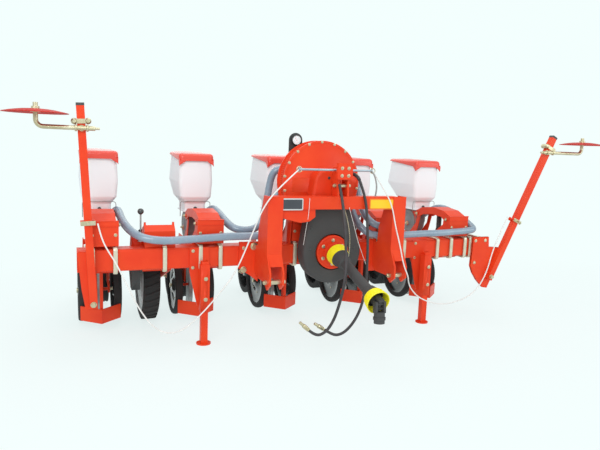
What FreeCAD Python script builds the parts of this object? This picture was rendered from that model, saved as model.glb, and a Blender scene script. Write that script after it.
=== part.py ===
"""Row crop planter: a mounted five-row pneumatic planter, as a parametric FreeCAD document.

Millimetres. +X runs along the toolbar, +Y to the back, +Z up. The sizes below are measured from
the middle row unit (x), the front face of the toolbar (y) and the ground (z); every sub-part is
then placed by -origin_x and -origin_y, so the frame's origin lies under the middle of the machine.
"""
import FreeCAD, Part
import Sketcher
import math
import os
import re

Vector = FreeCAD.Vector
Rotation = FreeCAD.Rotation

ROWS = (1, 2, 3, 4, 5)
MIDDLE_ROW = 3

SIZES = [
    # frame
    ("origin_x", 343.4), ("origin_y", 214),
    ("row_spacing", 600),
    ("bar_size", 125), ("bar_wall", 8), ("bar_corner", 14), ("bar_cap", 6),
    ("bar_bottom", 447), ("bar_left_end", 140), ("bar_right_end", 260),
    ("rod_radius", 8), ("nut_radius", 12), ("nut_depth", 12), ("hole_gap", 0.5), ("seat_gap", 0.3),
    # row bracket and parallel linkage
    ("bracket_half", 79), ("bracket_plate", 6), ("clamp_plate", 12), ("clamp_half", 85),
    ("ubolt_offset", 60), ("bracket_rise", 159),
    ("upper_pivot_y", 44), ("upper_pivot_rise", 134), ("lower_pivot_gap", 43), ("lower_pivot_z", 500),
    ("link_length", 380), ("link_half", 67), ("link_plate", 6), ("link_cover", 4),
    ("pin_radius", 10), ("boss_radius", 24),
    ("spring_radius", 17), ("spring_rod", 6),
    # row unit
    ("chassis_half", 55), ("chassis_plate", 6),
    ("meter_y", 578), ("meter_z", 628), ("meter_radius", 92), ("meter_half", 43),
    ("gauge_y", 600), ("gauge_radius", 200), ("gauge_width", 50), ("gauge_inner", 80),
    ("press_gap", 60), ("press_radius", 170), ("press_half", 80),
    ("axle_radius", 10), ("axle_gap", 0.5),
    ("point_gap", 120), ("point_half", 120), ("point_bottom", 60), ("point_top", 150),
    ("hopper_half", 103), ("hopper_belly", 112), ("hopper_wall", 4),
    ("hopper_corner", 24), ("neck_corner", 10),
    ("hopper_front", 430), ("hopper_back", 800), ("hopper_top", 1100), ("hopper_rake", 34),
    ("belly_z", 925), ("belly_back", 832), ("facet_z", 826), ("facet_back", 706),
    ("neck_half", 50), ("neck_front", 470), ("neck_back", 648), ("neck_top", 782),
    ("neck_bottom", 728),
    ("lid_half", 113), ("lid_wall", 3), ("hinge_y", 822), ("hinge_z", 1098), ("hinge_pin", 4),
    # drive wheel and its carrier
    ("drive_gap", 300), ("drive_y", 550), ("drive_radius", 300), ("drive_half", 52),
    ("drive_arm_x", 78), ("drive_bolt", 32),
    # parking stands
    ("stand_left_gap", 48), ("stand_right_gap", 294), ("stand_y", -62),
    ("leg_size", 40), ("leg_wall", 4), ("leg_top", 500),
    ("sleeve_size", 52), ("sleeve_wall", 5.5), ("stand_plate", 12),
    ("sleeve_bottom", 200), ("sleeve_top", 480), ("foot_radius", 43), ("foot_plate", 8),
    # headstock
    ("hitch_x", 130), ("hitch_spread", 825), ("hitch_pin", 14), ("hitch_y", -250),
    ("hitch_z", 398), ("lug_gap", 68), ("lug_plate", 12), ("lug_radius", 46),
    ("beam_bottom", 819), ("beam_height", 76), ("beam_front", -235), ("beam_depth", 70),
    ("beam_wall", 6),
    ("mast_height", 610), ("top_pin", 12.5), ("top_y", -200), ("top_gap", 52), ("top_plate", 12),
    # fan, guards and shaft
    ("fan_x", 95), ("fan_z", 965), ("fan_radius", 285), ("fan_front", -30), ("fan_depth", 110),
    ("drum_radius", 130), ("drum_depth", 110), ("stub_rise", 75), ("stub_reach", 160),
    ("pulley_x", 141), ("pulley_z", 539), ("guard_radius", 200), ("guard_small", 92),
    ("guard_front", -135), ("guard_depth", 90), ("pulley_radius", 107), ("stub_radius", 17.5),
    ("yoke_bore", 17.5),
    ("shaft_droop", 17.5), ("yoke_droop", 86), ("shaft_length", 560), ("shaft_radius", 20),
    ("tube_radius", 31), ("cone_radius", 66), ("bell_radius", 54),
    # markers
    ("marker_arm", 40), ("arm_wall", 4), ("marker_length", 1150), ("marker_y", -55), ("marker_pin", 12),
    ("marker_left_gap", 60), ("marker_left_z", 285), ("marker_left_tilt", 2.9),
    ("marker_right_gap", 264), ("marker_right_z", 297), ("marker_right_tilt", 25.5),
    ("disc_radius", 157), ("disc_plate", 4), ("disc_dish", 14), ("marker_rod", 12), ("rod_rise", 118),
    ("marker_left_rod", 950), ("marker_right_rod", 1010), ("marker_left_reach", 215),
    ("marker_right_reach", 311), ("rope_clamp", 450),
    # cords
    ("vacuum_hose", 27), ("hydraulic_hose", 8.5), ("rope", 4), ("coupler_radius", 13),
]
# places along the bar and behind it, each a gap of its own from a row, the bar or a wheel
PLACES = {
    "bracket_top": "(bar_bottom + bar_size + bracket_rise)",
    "upper_pivot_z": "(bar_bottom + bar_size + upper_pivot_rise)",
    "lower_pivot_y": "(bar_size + lower_pivot_gap)",
    "press_y": "(gauge_y + gauge_radius + press_radius + press_gap)",
    "point_y": "(gauge_y - gauge_radius - point_gap)",
    "bar_left": "(2 * row_spacing + bar_left_end)",
    "bar_right": "(2 * row_spacing + bar_right_end)",
    "drive_x": "(-row_spacing - drive_gap)",
    "drive_bolt_x": "(drive_bolt - row_spacing - drive_gap)",
    "stand_left_x": "(-row_spacing - stand_left_gap)",
    "stand_right_x": "(row_spacing + stand_right_gap)",
    "marker_left_x": "(-2 * row_spacing - marker_left_gap)",
    "marker_right_x": "(2 * row_spacing + marker_right_gap)",
}

doc = FreeCAD.newDocument("RowCropPlanter")
sheet = doc.addObject("Spreadsheet::Sheet", "Sizes")
for line, (alias, number) in enumerate(SIZES, start=1):
    sheet.set(f"A{line}", alias)
    sheet.set(f"B{line}", str(number))
    sheet.setAlias(f"B{line}", alias)
doc.recompute()
ALIASES = {alias for alias, _ in SIZES}
PIECES = []


def size(alias):
    """The number that the sheet holds for an alias."""
    return float(sheet.get(alias))


def formula(text):
    """An expression in which each place is written out and each alias is read from the sheet."""
    text = re.sub(r"[a-z][a-z_]+", lambda m: PLACES.get(m[0], m[0]), str(text))
    return re.sub(r"[a-z][a-z_]+", lambda m: f"Sizes.{m[0]}" if m[0] in ALIASES else m[0], text)


def bind(thing, prop, text):
    """Bind a property to an expression of the sheet's sizes."""
    thing.setExpression(prop, formula(text))


def place(thing, x="0", y="0", z="0", rotation=None):
    """Give a sub-part its placement in the machine's frame."""
    if rotation is not None:
        thing.Placement = FreeCAD.Placement(Vector(0, 0, 0), rotation)
    bind(thing, "Placement.Base.x", f"({x}) - origin_x")
    bind(thing, "Placement.Base.y", f"({y}) - origin_y")
    bind(thing, "Placement.Base.z", z)


class Poly:
    """A closed outline of straight sides; its corners are pairs of expressions."""

    def __init__(self, *corners):
        self.corners = corners

    def draw(self, sketch):
        count = len(self.corners)
        first = sketch.GeometryCount
        ring = [Vector(math.cos(2 * math.pi * i / count), math.sin(2 * math.pi * i / count), 0)
                for i in range(count)]
        for i in range(count):
            sketch.addGeometry(Part.LineSegment(ring[i], ring[(i + 1) % count]), False)
        for i in range(count):
            sketch.addConstraint(Sketcher.Constraint(
                "Coincident", first + i, 2, first + (i + 1) % count, 1))
        for i, corner in enumerate(self.corners):
            for kind, text, start in zip(("DistanceX", "DistanceY"), corner, ring[i]):
                index = sketch.addConstraint(
                    Sketcher.Constraint(kind, -1, 1, first + i, 1, start))
                bind(sketch, f"Constraints[{index}]", text)


class Rect(Poly):
    """A rectangle between two opposite corners."""

    def __init__(self, left, low, right, high):
        super().__init__((left, low), (right, low), (right, high), (left, high))


class Circle:
    """A circle; its centre and radius are expressions."""

    def __init__(self, across, up, radius):
        self.values = (across, up, radius)

    def draw(self, sketch):
        index = sketch.GeometryCount
        sketch.addGeometry(Part.Circle(Vector(1, 1, 0), Vector(0, 0, 1), 5), False)
        rows = (Sketcher.Constraint("DistanceX", -1, 1, index, 3, 1),
                Sketcher.Constraint("DistanceY", -1, 1, index, 3, 1),
                Sketcher.Constraint("Radius", index, 5))
        for row, text in zip(rows, self.values):
            number = sketch.addConstraint(row)
            bind(sketch, f"Constraints[{number}]", text)


# Sketch planes: the normal of "side" is +X, of "front" -Y, of "top" +Z.
PLANES = {"side": ("YZ_Plane", 1), "front": ("XZ_Plane", -1), "top": ("XY_Plane", 1)}


class Piece:
    """A PartDesign body whose features are made from outlines on its own origin planes."""

    def __init__(self, label, x="0", y="0", z="0", rotation=None):
        self.body = doc.addObject("PartDesign::Body", label)
        self.body.Label = label
        self.body.AllowCompound = True
        place(self.body, x, y, z, rotation)
        PIECES.append(self.body)
        self.last = None

    def origin(self, role):
        return next(f for f in self.body.Origin.OriginFeatures if f.Role == role)

    def sketch(self, plane, shapes, start="0"):
        role, sign = PLANES[plane]
        sketch = self.body.newObject("Sketcher::SketchObject", f"{self.body.Name}_outline")
        sketch.AttachmentSupport = [(self.origin(role), "")]
        sketch.MapMode = "FlatFace"
        bind(sketch, "AttachmentOffset.Base.z", f"({start}) * {sign}")
        for shape in shapes:
            shape.draw(sketch)
        return sketch

    def add(self, plane, start, end, *shapes):
        """Solid between two distances from the plane, towards +X, +Y or +Z."""
        pad = self.body.newObject("PartDesign::Pad", f"{self.body.Name}_pad")
        pad.Profile = self.sketch(plane, shapes, start)
        pad.Reversed = PLANES[plane][1] < 0
        bind(pad, "Length", f"({end}) - ({start})")
        self.last = pad
        return pad

    def cut(self, plane, start, end, *shapes):
        """Take material away between two distances from the plane."""
        pocket = self.body.newObject("PartDesign::Pocket", f"{self.body.Name}_pocket")
        pocket.Profile = self.sketch(plane, shapes, start)
        pocket.Reversed = PLANES[plane][1] > 0
        bind(pocket, "Length", f"({end}) - ({start})")
        self.last = pocket
        return pocket

    def turn(self, plane, axis, *shapes):
        """Revolve outlines about a sketch axis, H_Axis or V_Axis."""
        revolution = self.body.newObject("PartDesign::Revolution", f"{self.body.Name}_turn")
        sketch = self.sketch(plane, shapes)
        revolution.Profile = sketch
        revolution.ReferenceAxis = (sketch, [axis])
        revolution.Angle = 360
        self.last = revolution
        return revolution

    def bent_rod(self, start, corner, end, bend, radius, depth, outward):
        """Round rod in a plane of constant y: level run from start to corner, arc, upright run."""
        (x0, level), (x1, _), (_, top) = start, corner, end
        sign = "-" if outward < 0 else ""
        side = -1 if sign else 1
        spine = self.sketch("front", [], depth)
        spine.addGeometry(Part.LineSegment(Vector(0, 0, 0), Vector(side * 80, 0, 0)), False)
        arc = Part.ArcOfCircle(Part.Circle(Vector(side * 80, 20, 0), Vector(0, 0, 1), 20),
                               *((-math.pi / 2, 0) if side > 0 else (math.pi, 1.5 * math.pi)))
        spine.addGeometry(arc, False)
        spine.addGeometry(Part.LineSegment(Vector(side * 100, 20, 0), Vector(side * 100, 90, 0)), False)
        first, last = (1, 2) if side > 0 else (2, 1)
        spine.addConstraint(Sketcher.Constraint("Coincident", 0, 2, 1, first))
        spine.addConstraint(Sketcher.Constraint("Coincident", 2, 1, 1, last))
        rows = [("DistanceX", 0, 1, 0, x0), ("DistanceY", 0, 1, 0, level),
                ("DistanceX", 0, 2, side * 80, f"({x1}) - ({sign}{bend})"), ("DistanceY", 0, 2, 0, level),
                ("DistanceX", 2, 1, side * 100, x1), ("DistanceY", 2, 1, 20, f"{level} + {bend}"),
                ("DistanceX", 2, 2, side * 100, x1), ("DistanceY", 2, 2, 90, top)]
        for kind, line, point, first_value, text in rows:
            index = spine.addConstraint(Sketcher.Constraint(kind, -1, 1, line, point, first_value))
            bind(spine, f"Constraints[{index}]", text)
        index = spine.addConstraint(Sketcher.Constraint("Radius", 1, 20))
        bind(spine, f"Constraints[{index}]", bend)
        ring = self.sketch("side", [Circle(depth, level, radius)], x0)
        pipe = self.body.newObject("PartDesign::AdditivePipe", f"{self.body.Name}_rod")
        pipe.Profile = ring
        pipe.Spine = (spine, ["Edge1", "Edge2", "Edge3"])
        return pipe

    def repeat(self, features, count, length):
        """Repeat features along +X over a length."""
        pattern = self.body.newObject("PartDesign::LinearPattern", f"{self.body.Name}_rows")
        pattern.Originals = features
        pattern.Direction = (self.origin("X_Axis"), [""])
        bind(pattern, "Length", length)
        pattern.Occurrences = count
        self.body.Tip = pattern
        return pattern

    def mirror(self, features, role="YZ_Plane"):
        """Mirror features in one of the body's origin planes."""
        mirrored = self.body.newObject("PartDesign::Mirrored", f"{self.body.Name}_mirror")
        mirrored.Originals = features
        mirrored.MirrorPlane = (self.origin(role), [""])
        self.body.Tip = mirrored
        return mirrored

    def loft(self, sections, cut=False):
        """Ruled loft through (height, outline) sections parallel to the ground."""
        kind = "PartDesign::SubtractiveLoft" if cut else "PartDesign::AdditiveLoft"
        loft = self.body.newObject(kind, f"{self.body.Name}_loft")
        sketches = [self.sketch("top", [shape], height) for height, shape in sections]
        loft.Profile = sketches[0]
        loft.Sections = sketches[1:]
        loft.Ruled = True
        return loft

    def round(self, radius, chosen):
        """Fillet the edges of the latest shape that the chooser picks."""
        doc.recompute()
        feature = self.body.Tip
        names = [f"Edge{i}" for i, edge in enumerate(feature.Shape.Edges, start=1) if chosen(edge)]
        fillet = self.body.newObject("PartDesign::Fillet", f"{self.body.Name}_round")
        fillet.Base = (feature, names)
        bind(fillet, "Radius", radius)
        return fillet


def joined(label, *pieces):
    """One sub-part from bodies that are built at different angles."""
    fusion = doc.addObject("Part::MultiFuse", label)
    fusion.Label = label
    fusion.Shapes = [piece.body for piece in pieces]
    for piece in pieces:
        PIECES.remove(piece.body)
    PIECES.append(fusion)


def along(direction):
    """Chooser of straight edges that run along a direction."""
    def chosen(edge):
        if edge.Curve.TypeId != "Part::GeomLine":
            return False
        return abs(edge.Curve.Direction.dot(direction)) > 0.999
    return chosen


# ------------------------------------------------------------------ frame

def toolbar():
    bar = Piece("toolbar")
    bar.add("side", "-bar_left", "bar_right",
            Rect("0", "bar_bottom", "bar_size", "bar_bottom + bar_size"))
    bar.round("bar_corner", along(Vector(1, 0, 0)))
    bar.cut("side", "-bar_left + bar_cap", "bar_right - bar_cap",
            Rect("bar_wall", "bar_bottom + bar_wall",
                 "bar_size - bar_wall", "bar_bottom + bar_size - bar_wall"))


def row_brackets():
    """Five brackets: a clamp plate behind the bar, two cheeks and the front plate of each box."""
    piece = Piece("row_brackets", x="-2 * row_spacing")
    back = "bar_size + seat_gap"
    top = "bar_bottom + bar_size"
    plate = piece.add("front", back, f"{back} + clamp_plate",
                      Rect("-clamp_half", "bar_bottom - 34", "clamp_half", f"{top} + 34"))
    features = [plate]
    cheek = Poly(("0", f"{top} + 20"), (f"{back} + 1", f"{top} + 20"), (f"{back} + 1", "bar_bottom - 34"),
                 ("lower_pivot_y", "bar_bottom - 20"),
                 ("lower_pivot_y + boss_radius", "lower_pivot_z - 20"),
                 ("lower_pivot_y + boss_radius", "lower_pivot_z + 24"),
                 ("lower_pivot_y", f"{top} + 34"),
                 ("upper_pivot_y + 36", "upper_pivot_z - 40"),
                 ("upper_pivot_y + 30", "upper_pivot_z + 14"),
                 ("upper_pivot_y + 8", "upper_pivot_z + 26"),
                 ("0", "bracket_top"))
    for side in ("-bracket_half", "bracket_half - bracket_plate"):
        features.append(piece.add("side", side, f"{side} + bracket_plate", cheek))
    features.append(piece.add("front", "0", "bracket_plate",
                              Rect("-bracket_half", f"{top} + 20", "bracket_half", "bracket_top")))
    for pivot in ("upper", "lower"):
        features.append(piece.add("side", "-bracket_half - 5", "bracket_half + 5",
                                  Circle(f"{pivot}_pivot_y", f"{pivot}_pivot_z", "pin_radius")))
    holes = [Circle(f"{sign}ubolt_offset", height, "rod_radius + hole_gap") for sign in ("", "-")
             for height in (f"{top} + rod_radius + seat_gap", "bar_bottom - rod_radius - seat_gap")]
    features.append(piece.cut("front", f"{back} - 5", f"{back} + clamp_plate + 5", *holes))
    piece.repeat(features, len(ROWS), "4 * row_spacing")


def ubolt(piece, x, reach, stand_off="seat_gap"):
    """A square U-bolt over the bar's front, its two legs and nuts behind a plate."""
    top = "bar_bottom + bar_size + rod_radius + seat_gap"
    low = "bar_bottom - rod_radius - seat_gap"
    front = f"-2 * rod_radius - ({stand_off})"
    feats = [piece.add("top", f"{low} - rod_radius", f"{top} + rod_radius",
                       Circle(x, f"{front} + rod_radius", "rod_radius"))]
    for level in (top, low):
        feats.append(piece.add("front", f"{front} + rod_radius", f"{reach} + 22",
                               Circle(x, level, "rod_radius")))
        feats.append(piece.add("front", f"{reach} + seat_gap", f"{reach} + nut_depth",
                               Circle(x, level, "nut_radius")))
    return feats


def u_bolts():
    piece = Piece("u_bolts", x="-2 * row_spacing")
    reach = "bar_size + seat_gap + clamp_plate"
    feats = ubolt(piece, "-ubolt_offset", reach) + ubolt(piece, "ubolt_offset", reach)
    piece.repeat(feats, len(ROWS), "4 * row_spacing")
    shift = "2 * row_spacing"
    for x in ("drive_bolt_x", "marker_right_x - 156", "marker_right_x - 82"):
        ubolt(piece, f"{x} + {shift}", reach)
    for x in ("stand_right_x - 154", "stand_right_x + 120"):
        ubolt(piece, f"{x} + {shift}", reach, "stand_plate + 2 * seat_gap")


# ------------------------------------------------------------------ row units

def unit_x(row):
    return f"row_spacing * {row - MIDDLE_ROW}"


def upper_link(row):
    """Arched channel, open below, over the spring; it hangs the unit from the bracket's top pin."""
    piece = Piece(f"row_{row}_upper_link", x=unit_x(row), y="upper_pivot_y", z="upper_pivot_z")
    rear = "link_length"
    outer = Poly(("-24", "-10"), ("-20", "24"), ("0", "34"), ("60", "58"), (f"{rear} * 0.5", "70"),
                 (f"{rear} - 60", "54"), (f"{rear} + 16", "24"), (f"{rear} + 24", "0"),
                 (f"{rear} + 12", "-22"), (f"{rear} - 24", "-22"), (f"{rear} - 80", "6"),
                 (f"{rear} * 0.5", "16"), ("80", "10"), ("26", "-20"), ("-12", "-24"))
    inner = Poly(("-40", "-40"), ("-40", "10"), ("0", "34 - 2 * link_cover"), ("60", "58 - link_cover"),
                 (f"{rear} * 0.5", "70 - link_cover"), (f"{rear} - 60", "54 - link_cover"),
                 (f"{rear} + 16", "24 - 2 * link_cover"), (f"{rear} + 40", "0"), (f"{rear} + 40", "-40"))
    piece.add("side", "-link_half", "link_half", outer)
    piece.cut("side", "-link_half + link_plate", "link_half - link_plate", inner)
    piece.add("top", "-115", "62", Circle("0", f"{rear} * 0.5", "spring_rod"))
    piece.add("top", "-96", "40", Circle("0", f"{rear} * 0.5", "spring_radius"))
    piece.add("top", "-104", "-96", Circle("0", f"{rear} * 0.5", "spring_radius + 5"))
    piece.add("side", "-link_half", "link_half", Circle(f"{rear} * 0.5", "52", "8"))
    for y in ("0", rear):
        piece.cut("side", "-link_half - 5", "link_half + 5", Circle(y, "0", "pin_radius + hole_gap"))


def lower_link(row):
    """Two deep cheeks joined by a tube; it carries the unit's weight on the lower pins."""
    piece = Piece(f"row_{row}_lower_link", x=unit_x(row), y="lower_pivot_y", z="lower_pivot_z")
    rear = "link_length"
    cheek = Poly(("-22", "-8"), ("-16", "20"), ("30", "34"), ("80", "62"), ("150", "70"), ("230", "58"),
                 (f"{rear} - 60", "34"), (f"{rear} + 14", "22"), (f"{rear} + 24", "0"),
                 (f"{rear} + 12", "-22"), (f"{rear} * 0.5", "-30"), ("-8", "-24"))
    for side in ("-link_half", "link_half - link_plate"):
        piece.add("side", side, f"{side} + link_plate", cheek)
    piece.add("side", "-link_half", "link_half", Circle(f"{rear} * 0.28", "-6", "16"))
    piece.add("side", "-link_half", "link_half", Circle(f"{rear} * 0.6", "-6", "16"))
    for y in ("0", rear):
        piece.cut("side", "-link_half - 5", "link_half + 5", Circle(y, "0", "pin_radius + hole_gap"))


def chassis(row):
    """Side plates, seed meter, opener shoe, clod deflector, gauge wheel arms and press wheel fork."""
    piece = Piece(f"row_{row}_chassis", x=unit_x(row))
    top_y = "upper_pivot_y + link_length"
    low_y = "lower_pivot_y + link_length"
    tail = "gauge_y + gauge_radius"
    cheek = Poly((f"{top_y} - 20", "upper_pivot_z - 26"), (f"{top_y} - 14", "upper_pivot_z + 10"),
                 (f"{top_y} + 8", "upper_pivot_z + 12"), (f"{top_y} + 16", "upper_pivot_z - 4"),
                 (f"{top_y} + 34", "upper_pivot_z - 80"),
                 (f"{low_y} - 10", "lower_pivot_z + 42"), (f"{tail} - 62", "lower_pivot_z + 42"),
                 (f"{tail} - 42", "lower_pivot_z - 20"), (f"{tail} - 142", "lower_pivot_z - 60"),
                 ("gauge_y + 70", "gauge_radius + 40"), ("gauge_y - 90", "gauge_radius + 40"),
                 ("gauge_y - 110", "lower_pivot_z - 120"), ("point_y + 60", "lower_pivot_z - 110"),
                 ("point_y + 60", "lower_pivot_z - 62"), (f"{low_y} - 50", "lower_pivot_z - 52"),
                 (f"{top_y} + 10", "upper_pivot_z - 120"))
    for side in ("-chassis_half", "chassis_half - chassis_plate"):
        piece.add("side", side, f"{side} + chassis_plate", cheek)
    for y, z in ((top_y, "upper_pivot_z"), (low_y, "lower_pivot_z")):
        piece.add("side", "-link_half - 6", "link_half + 6", Circle(y, z, "pin_radius"))
    # seed meter under the hopper's neck
    piece.add("side", "-meter_half", "meter_half", Circle("meter_y", "meter_z", "meter_radius"))
    piece.add("top", "meter_z", "neck_bottom - 8",
              Rect("-meter_half", "neck_front + 6", "meter_half", "neck_back - 6"))
    piece.add("top", "neck_bottom - 10", "neck_bottom - seat_gap",
              Rect("-neck_half - 4", "neck_front - 4", "neck_half + 4", "neck_back + 4"))
    piece.add("top", "lower_pivot_z + 28", "lower_pivot_z + 40",
              Rect("-chassis_half", "meter_y - 38", "chassis_half", "meter_y + 60"))
    piece.add("side", "-chassis_half", "chassis_half", Circle("meter_y", "meter_z - 20", "18"))
    # opener shoe
    piece.add("side", "-12", "12", Poly(("gauge_y - 60", "lower_pivot_z - 90"),
              ("gauge_y + 50", "lower_pivot_z - 90"), ("gauge_y + 70", "90"), ("gauge_y + 90", "16"),
              ("gauge_y - 20", "16"), ("gauge_y - 50", "120")))
    piece.add("side", "-chassis_half", "chassis_half", Rect("gauge_y - 50", "lower_pivot_z - 130",
              "gauge_y + 40", "lower_pivot_z - 100"))
    # clod deflector on its bolted stem
    wing = "point_y + 110"
    piece.add("top", "point_bottom", "point_top",
              Poly(("0", "point_y"), ("point_half", wing), ("point_half - 6", f"{wing} + 6"),
                   ("0", "point_y + 14"), ("-point_half + 6", f"{wing} + 6"), ("-point_half", wing)))
    piece.add("front", "point_y + 20", "point_y + 60",
              Rect("-9", "point_bottom", "9", "lower_pivot_z - 62"))
    piece.add("front", "point_y + 60", "point_y + 80",
              Rect("-chassis_half", "lower_pivot_z - 110", "chassis_half", "lower_pivot_z - 62"))
    # gauge wheel axle
    piece.add("side", "-gauge_inner - gauge_width - 8", "gauge_inner + gauge_width + 8",
              Circle("gauge_y", "gauge_radius", "axle_radius"))
    for side in ("-gauge_inner - gauge_width - 8", "gauge_inner + gauge_width + 2"):
        piece.add("side", side, f"{side} + 6", Circle("gauge_y", "gauge_radius", "nut_radius + 4"))
    for side in ("-chassis_half - 12", "chassis_half"):
        piece.add("side", side, f"{side} + 12", Poly(
            ("gauge_y - 22", "gauge_radius - 22"), ("gauge_y + 22", "gauge_radius - 22"),
            ("gauge_y + 22", "gauge_radius + 60"), ("gauge_y - 22", "gauge_radius + 60")))
    # press wheel fork and axle
    for side in ("-press_half - 14", "press_half + 8"):
        piece.add("side", side, f"{side} + 6", Poly(
            (f"{tail} - 102", "lower_pivot_z + 24"), (f"{tail} - 102", "lower_pivot_z - 24"),
            ("press_y - 24", "press_radius - 12"), ("press_y + 12", "press_radius - 22"),
            ("press_y + 24", "press_radius + 12"), (f"{tail} - 52", "lower_pivot_z + 24")))
    piece.add("side", "-press_half - 14", "press_half + 14",
              Circle(f"{tail} - 80", "lower_pivot_z", "18"))
    piece.add("side", "-press_half - 22", "press_half + 22",
              Circle("press_y", "press_radius", "axle_radius"))


def hopper(row):
    """Blow-moulded seed hopper, open at the top under its lid."""
    piece = Piece(f"row_{row}_hopper", x=unit_x(row))

    def section(half, front, back, wall, corner="hopper_corner"):
        cut = f"{corner} - {wall} * 0.58"
        right, near, far = f"{half} - {wall}", f"{front} + {wall}", f"{back} - {wall}"
        return Poly((f"{right} - ({cut})", near), (right, f"{near} + ({cut})"), (right, f"{far} - ({cut})"),
                    (f"{right} - ({cut})", far), (f"({cut}) - ({right})", far),
                    (f"-({right})", f"{far} - ({cut})"), (f"-({right})", f"{near} + ({cut})"),
                    (f"({cut}) - ({right})", near))

    def sections(wall, raised, lowered):
        neck = section("neck_half", "neck_front", "neck_back", wall, "neck_corner")
        return [(f"hopper_top + {raised}", section("hopper_half", "hopper_front", "hopper_back", wall)),
                ("belly_z", section("hopper_belly", "hopper_front", "belly_back", wall)),
                ("facet_z", section("hopper_half", "hopper_front", "facet_back", wall)),
                ("neck_top", neck), (f"neck_bottom - {lowered}", neck)]
    piece.loft(sections("0", "0", "0"))
    piece.loft(sections("hopper_wall", "2", "2"), cut=True)
    piece.cut("side", "-hopper_belly - 20", "hopper_belly + 20",
              Poly(("hopper_front - 20", "hopper_top - hopper_rake"), ("hopper_back", "hopper_top"),
                   ("hopper_back + 30", "hopper_top + 40"), ("hopper_front - 20", "hopper_top + 40")))
    for side in ("-60", "52"):
        piece.add("side", side, f"{side} + 8", Poly(
            ("hopper_back - hopper_wall", "hinge_z - 40"), ("hinge_y + 6", "hinge_z - 12"),
            ("hinge_y + 6", "hinge_z + 6"), ("hinge_y - 6", "hinge_z + 1"),
            ("hopper_back - hopper_wall", "hinge_z - 12")))
    piece.cut("side", "-80", "80", Circle("hinge_y", "hinge_z", "hinge_pin + hole_gap"))


def lid(row):
    """Crowned lid with a front skirt and two corner ears, hinged at the back."""
    piece = Piece(f"row_{row}_lid", x=unit_x(row), y="hinge_y", z="hinge_z")
    front = "hopper_front - hinge_y - 16"
    piece.add("side", "-lid_half", "lid_half", Poly(
        (front, "-34"), (front, "4"), (f"{front} + 14", "14"), ("-210", "27"), ("-40", "18"),
        ("-6", "10"), ("-10", "3"), ("-30", "3")))
    piece.cut("side", "-lid_half + lid_wall", "lid_half - lid_wall", Poly(
        (f"{front} + lid_wall", "-60"), (f"{front} + lid_wall", "2"), (f"{front} + 16", "14 - lid_wall"),
        ("-210", "27 - lid_wall"), ("-40", "18 - lid_wall"), ("-24", "-60")))
    for side in ("-lid_half", "lid_half - lid_wall"):
        piece.add("side", side, f"{side} + lid_wall", Poly(
            (front, "-66"), (front, "-20"), (f"{front} + 34", "-20")))
    piece.add("side", "-72", "72", Circle("0", "0", "hinge_pin"))
    piece.add("side", "-40", "40", Poly(("-4", "-4"), ("4", "-4"), ("4", "6"), ("-6", "12"),
                                        ("-14", "12"), ("-10", "3")))


def wheel_outline(inner, width, radius, bore, tread):
    """Half section of a wheel on its axle: hub, web, rim and tyre."""
    mid = f"{inner} + ({width}) / 2"
    return Poly((f"{inner}", f"{radius} - {tread} - 14"), (f"{inner}", f"{radius} - {tread} / 2"),
                (f"{inner} + {tread} / 2", radius), (f"{inner} + {width} - {tread} / 2", radius),
                (f"{inner} + {width}", f"{radius} - {tread} / 2"),
                (f"{inner} + {width}", f"{radius} - {tread} - 14"),
                (f"{mid} + 5", f"{radius} - {tread} - 18"), (f"{mid} + 5", "46"),
                (f"{inner} + {width} - 2", "40"), (f"{inner} + {width} - 2", bore),
                (f"{inner} + 2", bore), (f"{inner} + 2", "40"), (f"{mid} - 5", "46"),
                (f"{mid} - 5", f"{radius} - {tread} - 18"))


def gauge_wheels(row):
    piece = Piece(f"row_{row}_gauge_wheels", x=unit_x(row), y="gauge_y", z="gauge_radius")
    bore = "axle_radius + axle_gap"
    outline = wheel_outline("gauge_inner", "gauge_width", "gauge_radius", bore, "26")
    wheel = piece.turn("top", "H_Axis", outline)
    piece.mirror([wheel])


def press_wheel(row):
    piece = Piece(f"row_{row}_press_wheel", x=unit_x(row), y="press_y", z="press_radius")
    piece.turn("top", "H_Axis", wheel_outline(
        "-press_half", "press_half * 2", "press_radius", "axle_radius + axle_gap", "30"))


# ------------------------------------------------------------------ drive wheel

def drive_wheel():
    piece = Piece("drive_wheel", x="drive_x", y="drive_y", z="drive_radius")
    piece.turn("top", "H_Axis", wheel_outline(
        "-drive_half", "drive_half * 2", "drive_radius", "axle_radius + axle_gap", "50"))


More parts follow.
